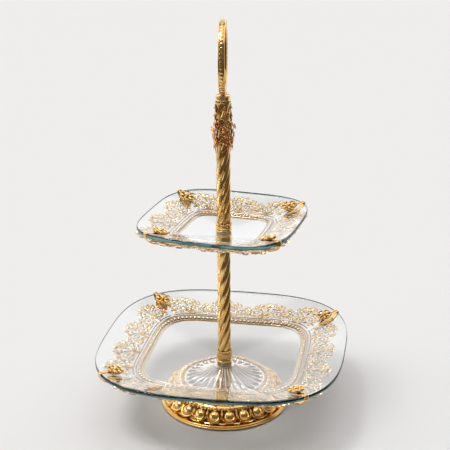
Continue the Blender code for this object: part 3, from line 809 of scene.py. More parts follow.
@dataclass
class Stem:
    """The twisted tubes, the beaded collars that hold the dishes, and the spray ring."""

    ridges: int = 6
    lead: float = 112.5 * MM
    groove: float = 1.5 * MM
    bore: float = 3.5 * MM
    sides: int = 96
    beads: int = 22

    def build(self) -> None:
        """Build both tubes and every collar between them."""
        for node, radius in (("lower_stem", 7.8 * MM), ("upper_stem", 8.2 * MM)):
            self.twisted(node, radius)
        for node, topside in (("bottom_collar", True), ("top_seat", False),
                              ("top_collar", True)):
            self.collar(node, topside)
        self.spray_ring()

    def twisted(self, node: str, radius: float) -> None:
        """Twist round ridges up a tube: the radius falls to a cusp between two ridges.

        Args:
            node: The CAD tube that it stands for.
            radius: Radius over the ridges.
        """
        low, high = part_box(node)
        height = np.linspace(low.z, high.z, round((high.z - low.z) / (1.4 * MM)))[:, None]
        angle = np.linspace(0.0, TAU, self.sides, endpoint=False)[None]
        groove = (1.0 - np.abs(np.cos(self.ridges * angle / 2))) ** 1.25
        reach = radius - self.groove * groove
        lean = angle + TAU * (height - low.z) / self.lead
        grid = outward(lean) * reach[..., None] + UP * height[..., None]
        hole = [(outward(lean[k]) * self.bore + UP * height[k])[None] for k in (-1, 0)]
        shell = Shell()
        # Painted shade in the grooves between the ridges.
        dark = np.repeat(groove**2.2 * 0.85, len(height) + 2, 0)
        shell.add(np.concatenate([grid, *hole]), ring=True, sunk=dark)
        shell.build(node + "_twisted", POLISHED, "stand", Slot.GOLD, node, crease=65.0)

    def collar(self, node: str, topside: bool) -> None:
        """Turn a collar: a foot ring, a waisted belt and a ring of beads at one end.

        Args:
            node: The CAD collar that it stands for.
            topside: Whether the beads are at its top.
        """
        low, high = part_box(node)
        wide, tall, bore = 9.6, (high.z - low.z) / MM, self.bore / MM
        outer = flow([(bore, 0.0), (wide - 1.2, 0.0), (wide - 0.1, 0.5), (wide, 1.3),
                      (wide - 0.3, 2.2), (wide - 1.3, 2.7), (wide - 0.8, 3.6),
                      (wide - 0.5, tall - 5.0), (wide - 0.6, tall - 3.8),
                      (wide - 1.6, tall - 3.2), (wide - 1.7, tall - 0.8),
                      (wide - 2.2, tall - 0.1), (bore, tall)], 60)
        section = outer if topside else outer * (1, -1) + (0, tall)
        # Painted shade where the section draws in: the groove above the foot ring, behind the
        # beads and on the inner faces.
        sunk = ease(wide - 0.7, wide - 1.5, section[:, 0]) * 0.9
        shell = Shell()
        shell.add(lathe(section * MM, low.z, 72), ring=True, sunk=sunk[None])
        middle = high.z - 1.8 * MM if topside else low.z + 1.8 * MM
        beads = outward(TAU * np.arange(self.beads) / self.beads) * (wide - 1.35) * MM
        shell.dots(ball(7, 10), beads + UP * middle, 1.35 * MM)
        shell.build(node + "_beaded", POLISHED, "stand", Slot.GOLD, node)

    def spray_ring(self) -> None:
        """Turn the ring that the sprays hang from, waisted at its middle."""
        low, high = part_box("spray_collar")
        tall = (high.z - low.z) / MM
        section = np.array([(8.4, 0.0), (8.9, 0.0), (8.9, 0.3 * tall), (8.65, 0.4 * tall),
                            (8.65, 0.6 * tall), (8.9, 0.7 * tall), (8.9, tall),
                            (8.4, tall)]) * MM
        shell = Shell()
        # Painted shade: the whole ring is darkened part way towards the deep tone.
        shell.add(lathe(section, low.z, 64), ring=True, sunk=0.4)
        shell.build("spray_ring", POLISHED, "stand", Slot.GOLD, "spray_collar")


@dataclass
class Sprays:
    """The four garlands of small flowers and leaves that hang below the cap."""

    names: tuple = ("front", "right", "back", "left")
    first_turn: float = math.radians(-64.5)
    root: float = 8.7 * MM      # from the stem's axis to the vine

    def build(self) -> None:
        """Build each garland flat, then stand it round the stem."""
        for index, name in enumerate(self.names):
            node = "spray_" + name
            low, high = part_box(node)
            turn = self.first_turn + index * TAU / 4
            flat = self.garland(high.z - low.z, index % 2 == 1)
            flat.moved(lambda points: self.hang(points, turn, high.z)).build(
                node + "_garland", ROSY, "stand", Slot.GOLD, node)

    def hang(self, points: Array, turn: float, top: float) -> Array:
        """Stand flat points up: X runs down, Y round the stem and Z away from it.

        Args:
            points: Points of the flat garland.
            turn: Where the garland hangs about the stem.
            top: Height of its upper end.

        Returns:
            The points where they hang.
        """
        down, across, out = points.T
        reach = self.root + out
        angle = turn + across / self.root
        return outward(angle) * reach[:, None] + UP * (top - down)[:, None]

    def garland(self, tall: float, bold: bool) -> Shell:
        """Draw one garland: a waving vine, flowers along it, leaves and hanging tips.

        Args:
            tall: Its height.
            bold: Whether its middle flower stands far out.

        Returns:
            The flat garland.
        """
        shell = Shell()
        share = np.linspace(0.0, 1.0, 40)
        bow = 0.7 * MM * ease(0.1, 0.6, share)
        wave = 1.1 * MM * np.sin(5.0 * math.pi * share)
        # Painted shade: the vine is darkened a little.
        shell.add(tube(np.stack([tall * 0.80 * share, wave, bow - 0.2 * MM], -1),
                       (1.3 - 0.6 * share) * MM, 8), sunk=0.25)
        blooms = [(0.07, 0.2, 0.0, 1.8), (0.20, -0.6, 0.2, 2.1), (0.31, 0.8, 0.5, 2.5),
                  (0.39, -1.3, 0.9, 3.0), (0.45, 1.1, 3.9 if bold else 1.8, 3.8),
                  (0.50, -2.2, 1.5, 3.3), (0.54, 2.2, 1.2, 3.2), (0.59, -0.4, 2.4, 3.9),
                  (0.65, -2.4, 1.1, 2.9), (0.68, 1.6, 1.4, 3.1), (0.75, -0.3, 1.2, 2.8)]
        petal = leaf(5, 7, 1.25, 0.10, 0.22, 0.34)
        for down, side, out, size in blooms:
            lift = size * 0.30
            shell.strew(petal, [(tall / MM * down, side, out, heading, size, size * 0.40, 22.0)
                                for heading in np.arange(0, 360, 72) + 40 * side])
            shell.dots(ball(5, 7), np.array([[tall * down, side * MM, (out + lift) * MM]]),
                       size * 0.27 * MM)
        blade = leaf(7, 7, 0.85, 0.14, -0.18, 0.30)
        places = np.arange(11)
        side = np.where(places % 2, 1.0, -1.0)
        down = tall / MM * (0.06 + 0.073 * places)
        swell = np.sin(math.pi * (0.15 + 0.07 * places))
        shell.strew(blade, np.stack([down, side * 1.2, 0.2 + 1.2 * swell,
                                     side * (58.0 - 3.0 * places), 3.0 + 2.6 * swell,
                                     1.2 + 0.4 * swell, 12.0 + 0 * down], -1))
        tips = [(0.74, 0.6, 1.5, 9.0, 13.5, 1.2, -3.0), (0.72, -0.9, 1.7, -14.0, 11.0, 1.3, 2.0),
                (0.64, 1.8, 2.2, 20.0, 10.5, 1.3, 6.0), (0.58, -2.0, 2.4, -24.0, 9.0, 1.3, 8.0)]
        shell.strew(blade, np.array(tips) * (tall / MM, 1, 1, 1, 1, 1, 1))
        return shell


# --- The cap and the handle -------------------------------------------------------

@dataclass
class Handle:
    """The cap, the cast ring above it and the pointed leaves that join them."""

    turn: float = math.radians(-82.2)
    thick: float = 8.0 * MM
    scales: int = 52
    pearls: int = 84

    def build(self) -> None:
        """Build the cap, the ring and both leaves."""
        self.build_cap()
        self.build_ring()
        self.build_leaf("handle_leaf_front", 0.0)
        self.build_leaf("handle_leaf_back", math.pi)

    def stand_up(self, points: Array, extra: float = 0.0) -> Array:
        """Turn points from the ring's own plane to where the handle stands.

        Args:
            points: Points with the ring across X.
            extra: A further turn.

        Returns:
            The turned points.
        """
        turn = self.turn + extra
        x, y, z = points.T
        return np.stack([x * math.cos(turn) - y * math.sin(turn),
                         x * math.sin(turn) + y * math.cos(turn), z], -1)

    def build_cap(self) -> None:
        """Turn the cap: a plain drum with a rolled rim at its top and its foot."""
        low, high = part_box("cap")
        tall, wide = (high.z - low.z) / MM, 8.6
        outer = flow([(wide - 1.0, 0.0), (wide - 0.2, 0.2), (wide, 0.9), (wide - 0.5, 1.7),
                      (wide - 0.5, 2.4), (wide - 0.35, tall - 2.2), (wide - 0.3, tall - 1.4),
                      (wide, tall - 0.8), (wide - 0.4, tall - 0.15), (wide - 1.4, tall - 0.1),
                      (wide - 1.8, tall - 0.5), (4.0, tall - 0.2), (2.0, tall)], 52)
        section = np.vstack([outer, [(2.0, tall - 1.4), (5.9, tall - 1.4), (5.9, 0.0)]])
        shell = Shell()
        shell.add(lathe(section * MM, low.z, 72), ring=True)
        shell.build("cap_turned", POLISHED, "handle", Slot.GOLD, "cap")

    def build_ring(self) -> None:
        """Cast the ring: a coved section, with scales and pearls along its outer face.

        A point at an angle round the ring is the middle plus the reach times the sine
        along X and less the cosine along Z.
        """
        low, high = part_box("handle_loop")
        reach = (high.z - low.z) / 2
        centre = low.z + reach
        thick = self.thick / MM
        section = flow([(-thick, -2.1), (-thick, 2.1), (-6.4, 3.3), (-4.4, 2.7), (-2.2, 3.0),
                        (-1.6, 3.6), (-0.9, 3.0), (-0.9, 2.0), (-0.4, 0.0), (-0.9, -2.0),
                        (-0.9, -3.0), (-1.6, -3.6), (-2.2, -3.0), (-4.4, -2.7),
                        (-6.4, -3.3)], 42, closed=True) * MM
        shell = Shell()
        along = np.linspace(0.0, TAU, 180, endpoint=False)[:, None]
        radius = reach + section[:, 0][None]
        grid = np.stack([radius * np.sin(along), section[:, 1] + 0 * along,
                         centre - radius * np.cos(along)], -1)
        # Painted shade on the inner face, the flanks of the outer face and the coves of the sides.
        groove = ease(-0.5 * MM, -0.9 * MM, section[:, 0]) * (np.abs(section[:, 1]) < 2.4 * MM)
        side = ease(3.2 * MM, 2.8 * MM, np.abs(section[:, 1])) * (section[:, 0] < -3.0 * MM)
        side = side * (section[:, 0] > -5.6 * MM)
        shell.add(grid, ring=True, sunk=np.clip(groove * 0.5 + side * 0.5, 0, 1)[None])
        self.add_scales(shell, reach, centre)
        self.add_pearls(shell, reach, centre)
        shell.moved(self.stand_up).build("handle_ring", POLISHED, "handle", Slot.GOLD,
                                         "handle_loop")

    def add_scales(self, shell: Shell, reach: float, centre: float) -> None:
        """Lay a leaf over the next along the outer face, all pointing up, and side leaves.

        Args:
            shell: The ring's shell.
            reach: Outer radius of the ring.
            centre: Height of its middle.
        """
        angle = TAU * (np.arange(self.scales) + 0.5) / self.scales
        out = np.stack([np.sin(angle), 0 * angle, -np.cos(angle)], -1)
        upward = np.stack([np.cos(angle), 0 * angle, np.sin(angle)], -1)
        upward = upward * np.where(angle < math.pi, 1.0, -1.0)[:, None]
        side = np.broadcast_to(np.array([0.0, 1.0, 0.0]), out.shape)
        middle = np.array([0.0, 0.0, centre])
        lean = unit(upward + 0.07 * out)
        face = unit(out - 0.07 * upward)
        scale, sunk = leaf(7, 8, 0.85, 0.10, -0.12, 0.34)
        shell.copies(scale, middle + out * (reach - 1.0 * MM) - upward * 3.5 * MM,
                     lean * 5.6 * MM, side * 2.3 * MM, face * 1.3 * MM, sunk=sunk * 0.6)
        for hand in (-1.0, 1.0):
            frond = unit(upward - 0.5 * out)
            root = middle + out * (reach - 2.4 * MM) + side * hand * 2.75 * MM
            shell.copies(scale, root, frond * 4.6 * MM, np.cross(side * hand, frond) * 1.4 * MM,
                         side * hand * 1.7 * MM, sunk=sunk * 0.6)

    def add_pearls(self, shell: Shell, reach: float, centre: float) -> None:
        """String pearls round the inner face.

        Args:
            shell: The ring's shell.
            reach: Outer radius of the ring.
            centre: Height of its middle.
        """
        angle = TAU * np.arange(self.pearls) / self.pearls
        out = np.stack([np.sin(angle), 0 * angle, -np.cos(angle)], -1)
        spots = np.array([0.0, 0.0, centre]) + out * (reach - self.thick + 0.35 * MM)
        shell.dots(ball(5, 7), spots, 1.05 * MM)

    def build_leaf(self, node: str, extra: float) -> None:
        """Cast one leaf: a shield with a raised rim, veins and a pointed foot.

        Args:
            node: The CAD leaf that it stands for.
            extra: Turn from the handle's own side.
        """
        low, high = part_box(node)
        tall, out = high.z - low.z, 10.5 * MM
        share = np.linspace(0.0, 1.0, 16)
        half = 3.5 * MM * np.sqrt(1.0 - share) + 0.25 * MM
        bow = out + 0.5 * MM * np.sin(math.pi * share)
        height = high.z - tall * share
        shell = Shell()
        round_it = np.linspace(0.0, TAU, 14, endpoint=False)[None]
        grid = np.stack([bow[:, None] + 0.55 * MM * np.sin(round_it) + 0 * round_it,
                         half[:, None] * np.cos(round_it),
                         height[:, None] + 0 * round_it], -1)
        # Painted shade over the shield between its raised rims.
        shell.add(grid, sunk=0.25)
        for hand in (-1.0, 1.0):
            edge = np.stack([bow + 0.45 * MM, hand * half, height], -1)
            shell.add(tube(edge, 0.55 * MM, 7, reference=np.array([1.0, 0.0, 0.0])))
            for start in (0.05, 0.3, 0.55):
                vein = np.linspace(0.0, 1.0, 6)[:, None]
                foot = np.array([out + 0.75 * MM, 0.0, high.z - tall * (start + 0.22)])
                tip = np.array([out + 0.75 * MM, hand * 2.5 * MM * math.sqrt(1 - start),
                                high.z - tall * start])
                shell.add(tube(foot + (tip - foot) * vein, 0.34 * MM * (1.1 - vein[:, 0] * 0.6),
                               6, reference=np.array([1.0, 0.0, 0.0])))
        shell.moved(lambda points: self.stand_up(points, extra)).build(
            node + "_cast", SATIN, "handle", Slot.GOLD, node)


# --- The tiers --------------------------------------------------------------------

@dataclass
class Track:
    """A line round a tier, a rounded square, along which ornament is laid by its length."""

    half: float
    exponent: float = 4.5
    steps: int = 2880

    def __post_init__(self) -> None:
        """Measure the line once, from angle 0 round to angle 0 again."""
        self.angles = np.linspace(0.0, TAU, self.steps + 1)
        radius = self.radius(self.half, self.angles)
        x, y = radius * np.cos(self.angles), radius * np.sin(self.angles)
        self.lengths = np.concatenate([[0.0], np.cumsum(np.hypot(np.diff(x), np.diff(y)))])
        self.length = float(self.lengths[-1])

    def radius(self, half: float | Array, angle: Array) -> Array:
        """Return the outline's radius at an angle for any half side."""
        return rounded_square(half, self.exponent, angle)

    def angle_at(self, length: Array) -> Array:
        """Find the angle at a length along the line.

        Args:
            length: Lengths, which may be past a full round.

        Returns:
            The angles, which go past a full round too.
        """
        rounds = np.floor(length / self.length)
        rest = length - rounds * self.length
        return np.interp(rest, self.lengths, self.angles) + rounds * TAU

    def length_at(self, angle: float) -> float:
        """Return the length along the line at an angle between 0 and a full round."""
        return float(np.interp(angle, self.angles, self.lengths))


@dataclass
class Tier:
    """One dish with its frame, clips and rosettes, built flat on and turned at the end."""

    name: str
    half: float
    exponent: float
    turn: float
    opening: float              # half side of the frame's opening
    band: float                 # width of the moulded band
    tips: float                 # half side over the filigree's tips
    motifs: int
    clip_angles: tuple
    boss_pitch: float
    boss_long: float            # half length of a boss along the band
    boss_wide: float
    wall: float = 4.2 * MM
    flat: float = 11.0 * MM
    bore: float = 6.0 * MM
    power: float = 1.4
    droop: float = 4.0 * MM
    clearance: float = 1.0 * MM

    def __post_init__(self) -> None:
        """Read the heights from the frame."""
        low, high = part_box(self.name + "_glass")
        self.centre = low.z + self.wall
        self.depth = high.z - self.centre
        self.body = self.name + "_tier"
        self.frame_track = Track(self.opening)

    def build(self) -> None:
        """Build every piece of the tier."""
        self.build_glass()
        self.build_band()
        Filigree(self).build()
        for index, degrees in enumerate(self.clip_angles):
            Clip(self, index + 1, math.radians(degrees)).build()

    def set_down(self, points: Array) -> Array:
        """Turn points about the stem to where the tier stands.

        Args:
            points: Points of the tier as drawn.

        Returns:
            The turned points.
        """
        x, y, z = points.T
        c, s = math.cos(self.turn), math.sin(self.turn)
        return np.stack([x * c - y * s, x * s + y * c, z], -1)

    def finish(self, shell: Shell, name: str, finish: Finish, slot: Slot, *nodes: str,
               crease: float = 50.0) -> bpy.types.Object:
        """Turn a shell to its place and make it a piece of this tier.

        Args:
            shell: The piece as drawn.
            name: The piece's name.
            finish: What it is finished in.
            slot: The record's slot of its finish.
            nodes: The CAD nodes that it stands for.
            crease: Angle in degrees past which an edge is sharp.

        Returns:
            The finished object.
        """
        return shell.moved(self.set_down).build(name, finish, self.body, slot, *nodes,
                                                crease=crease)

    def glass_top(self, x: Array, y: Array) -> Array:
        """Find the height of the glass: level in the middle, then a power of the reach.

        Args:
            x: Places along X.
            y: Places along Y.

        Returns:
            Heights of the glass's upper face.
        """
        n = self.exponent
        reach = (np.abs(x) ** n + np.abs(y) ** n) ** (1.0 / n)
        share = np.clip(reach - self.flat, 0.0, None) / (self.half - self.flat)
        return self.centre + self.depth * share**self.power

    def edge(self, angle: float) -> float:
        """Return the radius of the glass edge at an angle."""
        return float(rounded_square(self.half, self.exponent, angle))

    def frame_top(self, x: Array, y: Array) -> Array:
        """Find the height of the frame: below the glass, and drooping to its tips.

        Args:
            x: Places along X.
            y: Places along Y.

        Returns:
            Heights of the frame's upper face.
        """
        share = np.hypot(x, y) / self.frame_track.radius(1.0, np.arctan2(y, x))
        droop = (share - self.opening) / (self.tips - self.opening)
        return self.glass_top(x, y) - self.wall - self.clearance - self.droop * droop

    def lay(self, points: Array, track: Track, start: float) -> Array:
        """Lay flat ornament along the frame.

        Args:
            points: X along the line, Y outwards from the opening, Z up from the frame.
            track: The line that lengths are measured on.
            start: Length at which X is zero.

        Returns:
            The points on the frame.
        """
        angle = track.angle_at(start + points[:, 0])
        radius = track.radius(self.opening + points[:, 1], angle)
        x, y = radius * np.cos(angle), radius * np.sin(angle)
        return np.stack([x, y, self.frame_top(x, y) + points[:, 2]], -1)

    def build_glass(self) -> None:
        """Slump the glass: a bored sheet with a ground edge, the same thickness all over."""
        angle = np.linspace(0.0, TAU, 320, endpoint=False)[:, None]
        rim = rounded_square(self.half, self.exponent, angle)
        arris = 1.3 * MM
        share = np.concatenate([np.linspace(0.0, 0.12, 5), np.linspace(0.12, 1.0, 26)[1:]])
        top_r = self.bore + (rim - arris - self.bore) * share[None]
        phi = np.linspace(math.pi / 2, -math.pi / 2, 15)[1:-1][None]
        edge_r = rim - arris + arris * np.cos(phi) ** 0.75
        edge_z = self.wall / 2 * np.sign(np.sin(phi)) * np.abs(np.sin(phi)) ** 0.7
        radii = np.hstack([top_r, edge_r, top_r[:, ::-1]])
        within = np.minimum(radii, rim - arris)
        top = self.glass_top(within * np.cos(angle), within * np.sin(angle))
        count = top_r.shape[1]
        drop = np.hstack([np.zeros((1, count)), edge_z - self.wall / 2,
                          np.full((1, count), -self.wall)])
        grid = np.stack([radii * np.cos(angle), radii * np.sin(angle), top + drop], -1)
        shell = Shell()
        shell.add(grid, ring=True)
        dish = self.finish(shell, self.name + "_dish", CLEAR, Slot.GLASS,
                           self.name + "_glass", crease=60.0)
        self.colour_edge(dish.data)

    def colour_edge(self, mesh: bpy.types.Mesh) -> None:
        """Give the faces of the ground edge their green finish, by how level they are.

        Args:
            mesh: The dish's mesh.
        """
        mesh.materials.append(EDGE.material())
        count = len(mesh.polygons)
        normals, centres = np.zeros(count * 3), np.zeros(count * 3)
        mesh.polygons.foreach_get("normal", normals)
        mesh.polygons.foreach_get("center", centres)
        upright = np.abs(normals.reshape(-1, 3)[:, 2]) < 0.60
        outer = np.hypot(*centres.reshape(-1, 3)[:, :2].T) > 2 * self.bore
        mesh.polygons.foreach_set("material_index", (upright & outer).astype(np.int32))

    def build_band(self) -> None:
        """Mould the band: a bead at each edge and a row of bosses in the channel between."""
        wide = self.band / MM
        top = flow([(0.0, -1.6), (0.2, -0.6), (0.75, 0.1), (1.35, -0.5), (1.8, -1.2),
                    (wide / 2, -1.35), (wide - 1.8, -1.2), (wide - 1.35, -0.5),
                    (wide - 0.75, 0.1), (wide - 0.2, -0.6), (wide, -1.6)], 34)
        under = np.array([(wide - 0.3, -2.4), (wide / 2, -2.6), (0.3, -2.4)])
        section = np.vstack([top, under]) * MM
        track = Track(self.opening + self.band / 2)
        stations = np.linspace(0.0, track.length, 360, endpoint=False)[:, None]
        # Painted shade: the lower parts of the band are darker, most of all beside the beads, and
        # the underside too.
        sunk = ease(-0.5 * MM, -1.1 * MM, section[:, 1])
        off_middle = np.abs(section[:, 0] - self.band / 2)
        sunk = sunk * (0.10 + 0.3 * ease(1.9 * MM, 2.6 * MM, off_middle))
        sunk[-3:] = 0.2
        flat = np.stack([stations + 0 * section[:, 0], section[:, 0] + 0 * stations,
                         section[:, 1] + 0 * stations], -1)
        strip = Shell()
        strip.add(flat, ring=True, sunk=sunk[None])
        count = round(track.length / self.boss_pitch)
        spots = np.zeros((count, 3))
        spots[:, 0] = np.arange(count) * track.length / count
        spots[:, 1] = self.band / 2
        spots[:, 2] = -0.6 * MM
        knob = ball(7, 10)
        # Painted shade on the lower half of each boss.
        strip.dots(knob, spots, np.array([self.boss_long, self.boss_wide, 1.3 * MM]),
                   sunk=0.9 * ease(0.55, 0.1, knob[..., 2]))
        shell = strip.moved(lambda points: self.lay(points, track, 0.0))
        self.finish(shell, self.name + "_band", BAND, Slot.CASTING, self.name + "_frame_band")


@dataclass
class Filigree:
    """The openwork castings of one tier, one on each side, from clip to clip."""

    tier: Tier
    pitch: float = 46.0 * MM    # width of one unit as drawn
    clip_room: float = 3.5 * MM # left free beside the middle of a clip
    gap: float = 0.9 * MM

    def build(self) -> None:
        """Lay the units along each side."""
        tier = self.tier
        self.deep = tier.tips - tier.opening - tier.band - self.gap
        track = Track(tier.opening + tier.band + self.deep * 0.45)
        for side in Side:
            start = track.length_at(math.radians(tier.clip_angles[side.value]))
            end = track.length_at(math.radians(tier.clip_angles[(side.value + 1) % 4]))
            if end < start:
                end += track.length
            start, end = start + self.clip_room, end - self.clip_room
            shell = self.strip(end - start).moved(
                lambda points: tier.lay(points, track, start))
            node = "%s_filigree_%s" % (tier.name, side.name.lower())
            tier.finish(shell, node + "_lace", CAST, Slot.CASTING, node)

    def strip(self, length: float) -> Shell:
        """Draw one side flat: rails, then a unit for each motif and a bud between two.

        Args:
            length: Length of the side.

        Returns:
            The flat strip, X along it, Y outwards from the opening.
        """
        count = self.tier.motifs
        wide = length / count
        root = self.tier.band + self.gap
        shell = Shell()
        run = np.linspace(0.0, length, 24 * count + 1)
        # The rails lie in painted shade.
        for across, radius, wave in ((0.9, 0.7, 0.0), (7.6, 0.75, 1.1)):
            line = across * MM + wave * MM * np.cos(run / wide * TAU * 2)
            rail = np.stack([run, root + line, np.full_like(run, -0.5 * MM)], -1)
            shell.add(tube(rail, radius * MM, 8, 0.7), sunk=0.5)
        one = self.unit_motif()
        stretch = np.array([wide / self.pitch, self.deep / (33.2 * MM), 1.0])
        for index in range(count):
            middle = np.array([(index + 0.5) * wide, root, 0.0])
            shell.join(one, lambda points: points * stretch + middle)
        bud = self.bud()
        for index in range(count + 1):
            middle = np.array([index * wide, root, 0.0])
            inset = np.array([4.0 * MM if index == 0 else -4.0 * MM if index == count else 0.0,
                              0.0, 0.0])
            shell.join(bud, lambda points: points * (0.9, stretch[1], 1.0) + middle + inset)
        # Painted shade: on top of each piece's own, the lower a point lies, the darker it is.
        shell.sunk = [np.clip(sunk + 0.8 * ease(0.3 * MM, -0.9 * MM, points[:, 2]), 0.0, 1.0)
                      for sunk, points in zip(shell.sunk, shell.points)]
        return shell

    @staticmethod
    def flower(shell: Shell, x: float, y: float, z: float, reach: float, petals: int) -> None:
        """Add a flower that faces up: petals round an eye, and a ring of stamens.

        Args:
            shell: The shell that it joins.
            x: Place along the side, in millimetres as are the rest.
            y: Place outwards.
            z: Height of its heart.
            reach: Radius over the petals.
            petals: How many petals.
        """
        turn = 360.0 / petals
        shell.strew(leaf(6, 8, 1.3, 0.12, 0.25, 0.36),
                    [(x, y, z, 18.0 + k * turn, reach, reach * 1.75 / petals, 14.0)
                     for k in range(petals)])
        eyes = [(x, y, z + 0.6, reach * 0.24)] + [
            (x + reach * 0.4 * math.cos(math.radians(k * turn)),
             y + reach * 0.4 * math.sin(math.radians(k * turn)), z + 0.35, reach * 0.11)
            for k in range(petals)]
        eyes = np.array(eyes) * MM
        shell.dots(ball(5, 6), eyes[:, :3], eyes[:, 3:])

    def unit_motif(self) -> Shell:
        """Draw one unit about X zero: scrolls both ways, leaves, and a flower at its tip.

        Returns:
            The unit's shell.
        """
        shell = Shell()
        scrolls = [
            ([(2.5, 0.5), (6.5, 5.0), (12.5, 5.2), (17.0, 9.0), (17.2, 14.6), (13.2, 17.8),
              (9.0, 15.8), (8.8, 12.0), (11.8, 10.6), (13.4, 12.8)], 1.15, 0.65),
            ([(0.8, 1.0), (2.6, 7.0), (3.4, 13.0), (6.6, 18.6), (12.0, 21.6), (17.4, 21.0),
              (19.8, 17.2), (17.6, 14.2)], 1.05, 0.6),
            ([(4.0, 22.0), (9.2, 24.0), (12.0, 28.0), (9.6, 31.0), (6.6, 29.4), (8.2, 27.2)],
             0.85, 0.5)]
        leaves = [(12.5, 20.5, -0.2, 68, 9.0, 2.4, 4), (9.0, 18.0, 0.1, 84, 8.0, 2.0, 8),
                  (17.5, 17.0, -0.2, 30, 6.5, 1.9, 4), (16.5, 9.0, -0.2, -12, 6.0, 1.8, 4),
                  (3.0, 9.0, 0.0, 38, 6.6, 1.8, 8), (12.5, 5.5, 0.0, 70, 5.4, 1.6, 8),
                  (5.5, 3.0, -0.1, 60, 5.6, 1.7, 6), (19.0, 3.0, -0.1, 96, 6.4, 1.7, 4),
                  (6.0, 26.0, 0.2, 40, 7.6, 2.0, 6), (2.5, 28.0, 0.2, 66, 6.2, 1.8, 6)]
        blade = leaf(7, 8, 0.85, 0.10, -0.22, 0.34)
        for hand in (-1.0, 1.0):
            for knots, first, last in scrolls:
                line = flow(np.array(knots) * (hand, 1.0) * MM, 9 * len(knots))
                path = np.column_stack([line, np.full(len(line), -0.4 * MM)])
                girth = np.linspace(first, last, len(line)) * MM
                shell.add(tube(path, girth, 7, 0.75), sunk=0.08)
                end = knots[-1]
                shell.dots(ball(5, 7), np.array([[hand * end[0], end[1], -0.1]]) * MM,
                           1.35 * MM)
            shell.strew(blade, [(hand * x, y, z, heading if hand > 0 else 180.0 - heading, *rest)
                                for x, y, z, heading, *rest in leaves])
        stalk = flow(np.array([(0.0, 0.5, -0.4), (0.7, 8.0, -0.2), (-0.6, 15.0, 0.1),
                               (0.0, 24.0, 0.4)]) * MM, 20)
        shell.add(tube(stalk, 1.0 * MM, 7, 0.8), sunk=0.1)
        shell.strew(blade, [(0.0, 26.0, 0.1, 90.0, 8.2, 2.4, 2.0),
                            (0.0, 6.0, 0.0, 90.0, 8.0, 2.2, 8.0)])
        self.flower(shell, 0.0, 24.0, 1.0, 7.4, 6)
        self.flower(shell, 0.0, 12.6, 0.3, 3.6, 5)
        return shell

    def bud(self) -> Shell:
        """Draw the bud between two units: two small flowers and leaves round them.

        Returns:
            The bud's shell.
        """
        shell = Shell()
        self.flower(shell, 0.0, 11.5, 0.3, 4.6, 5)
        self.flower(shell, 0.0, 19.0, 0.5, 3.2, 5)
        shell.strew(leaf(7, 8, 0.85, 0.10, -0.22, 0.34),
                    [(0.0, 19.5, 0.0, heading, length, 1.9, 3.0)
                     for heading, length in ((90.0, 6.2), (48.0, 5.6), (132.0, 5.6))]
                    + [(0.0, 3.0, 0.0, heading, 6.0, 1.8, 6.0)
                       for heading in (52.0, 90.0, 128.0)])
        return shell


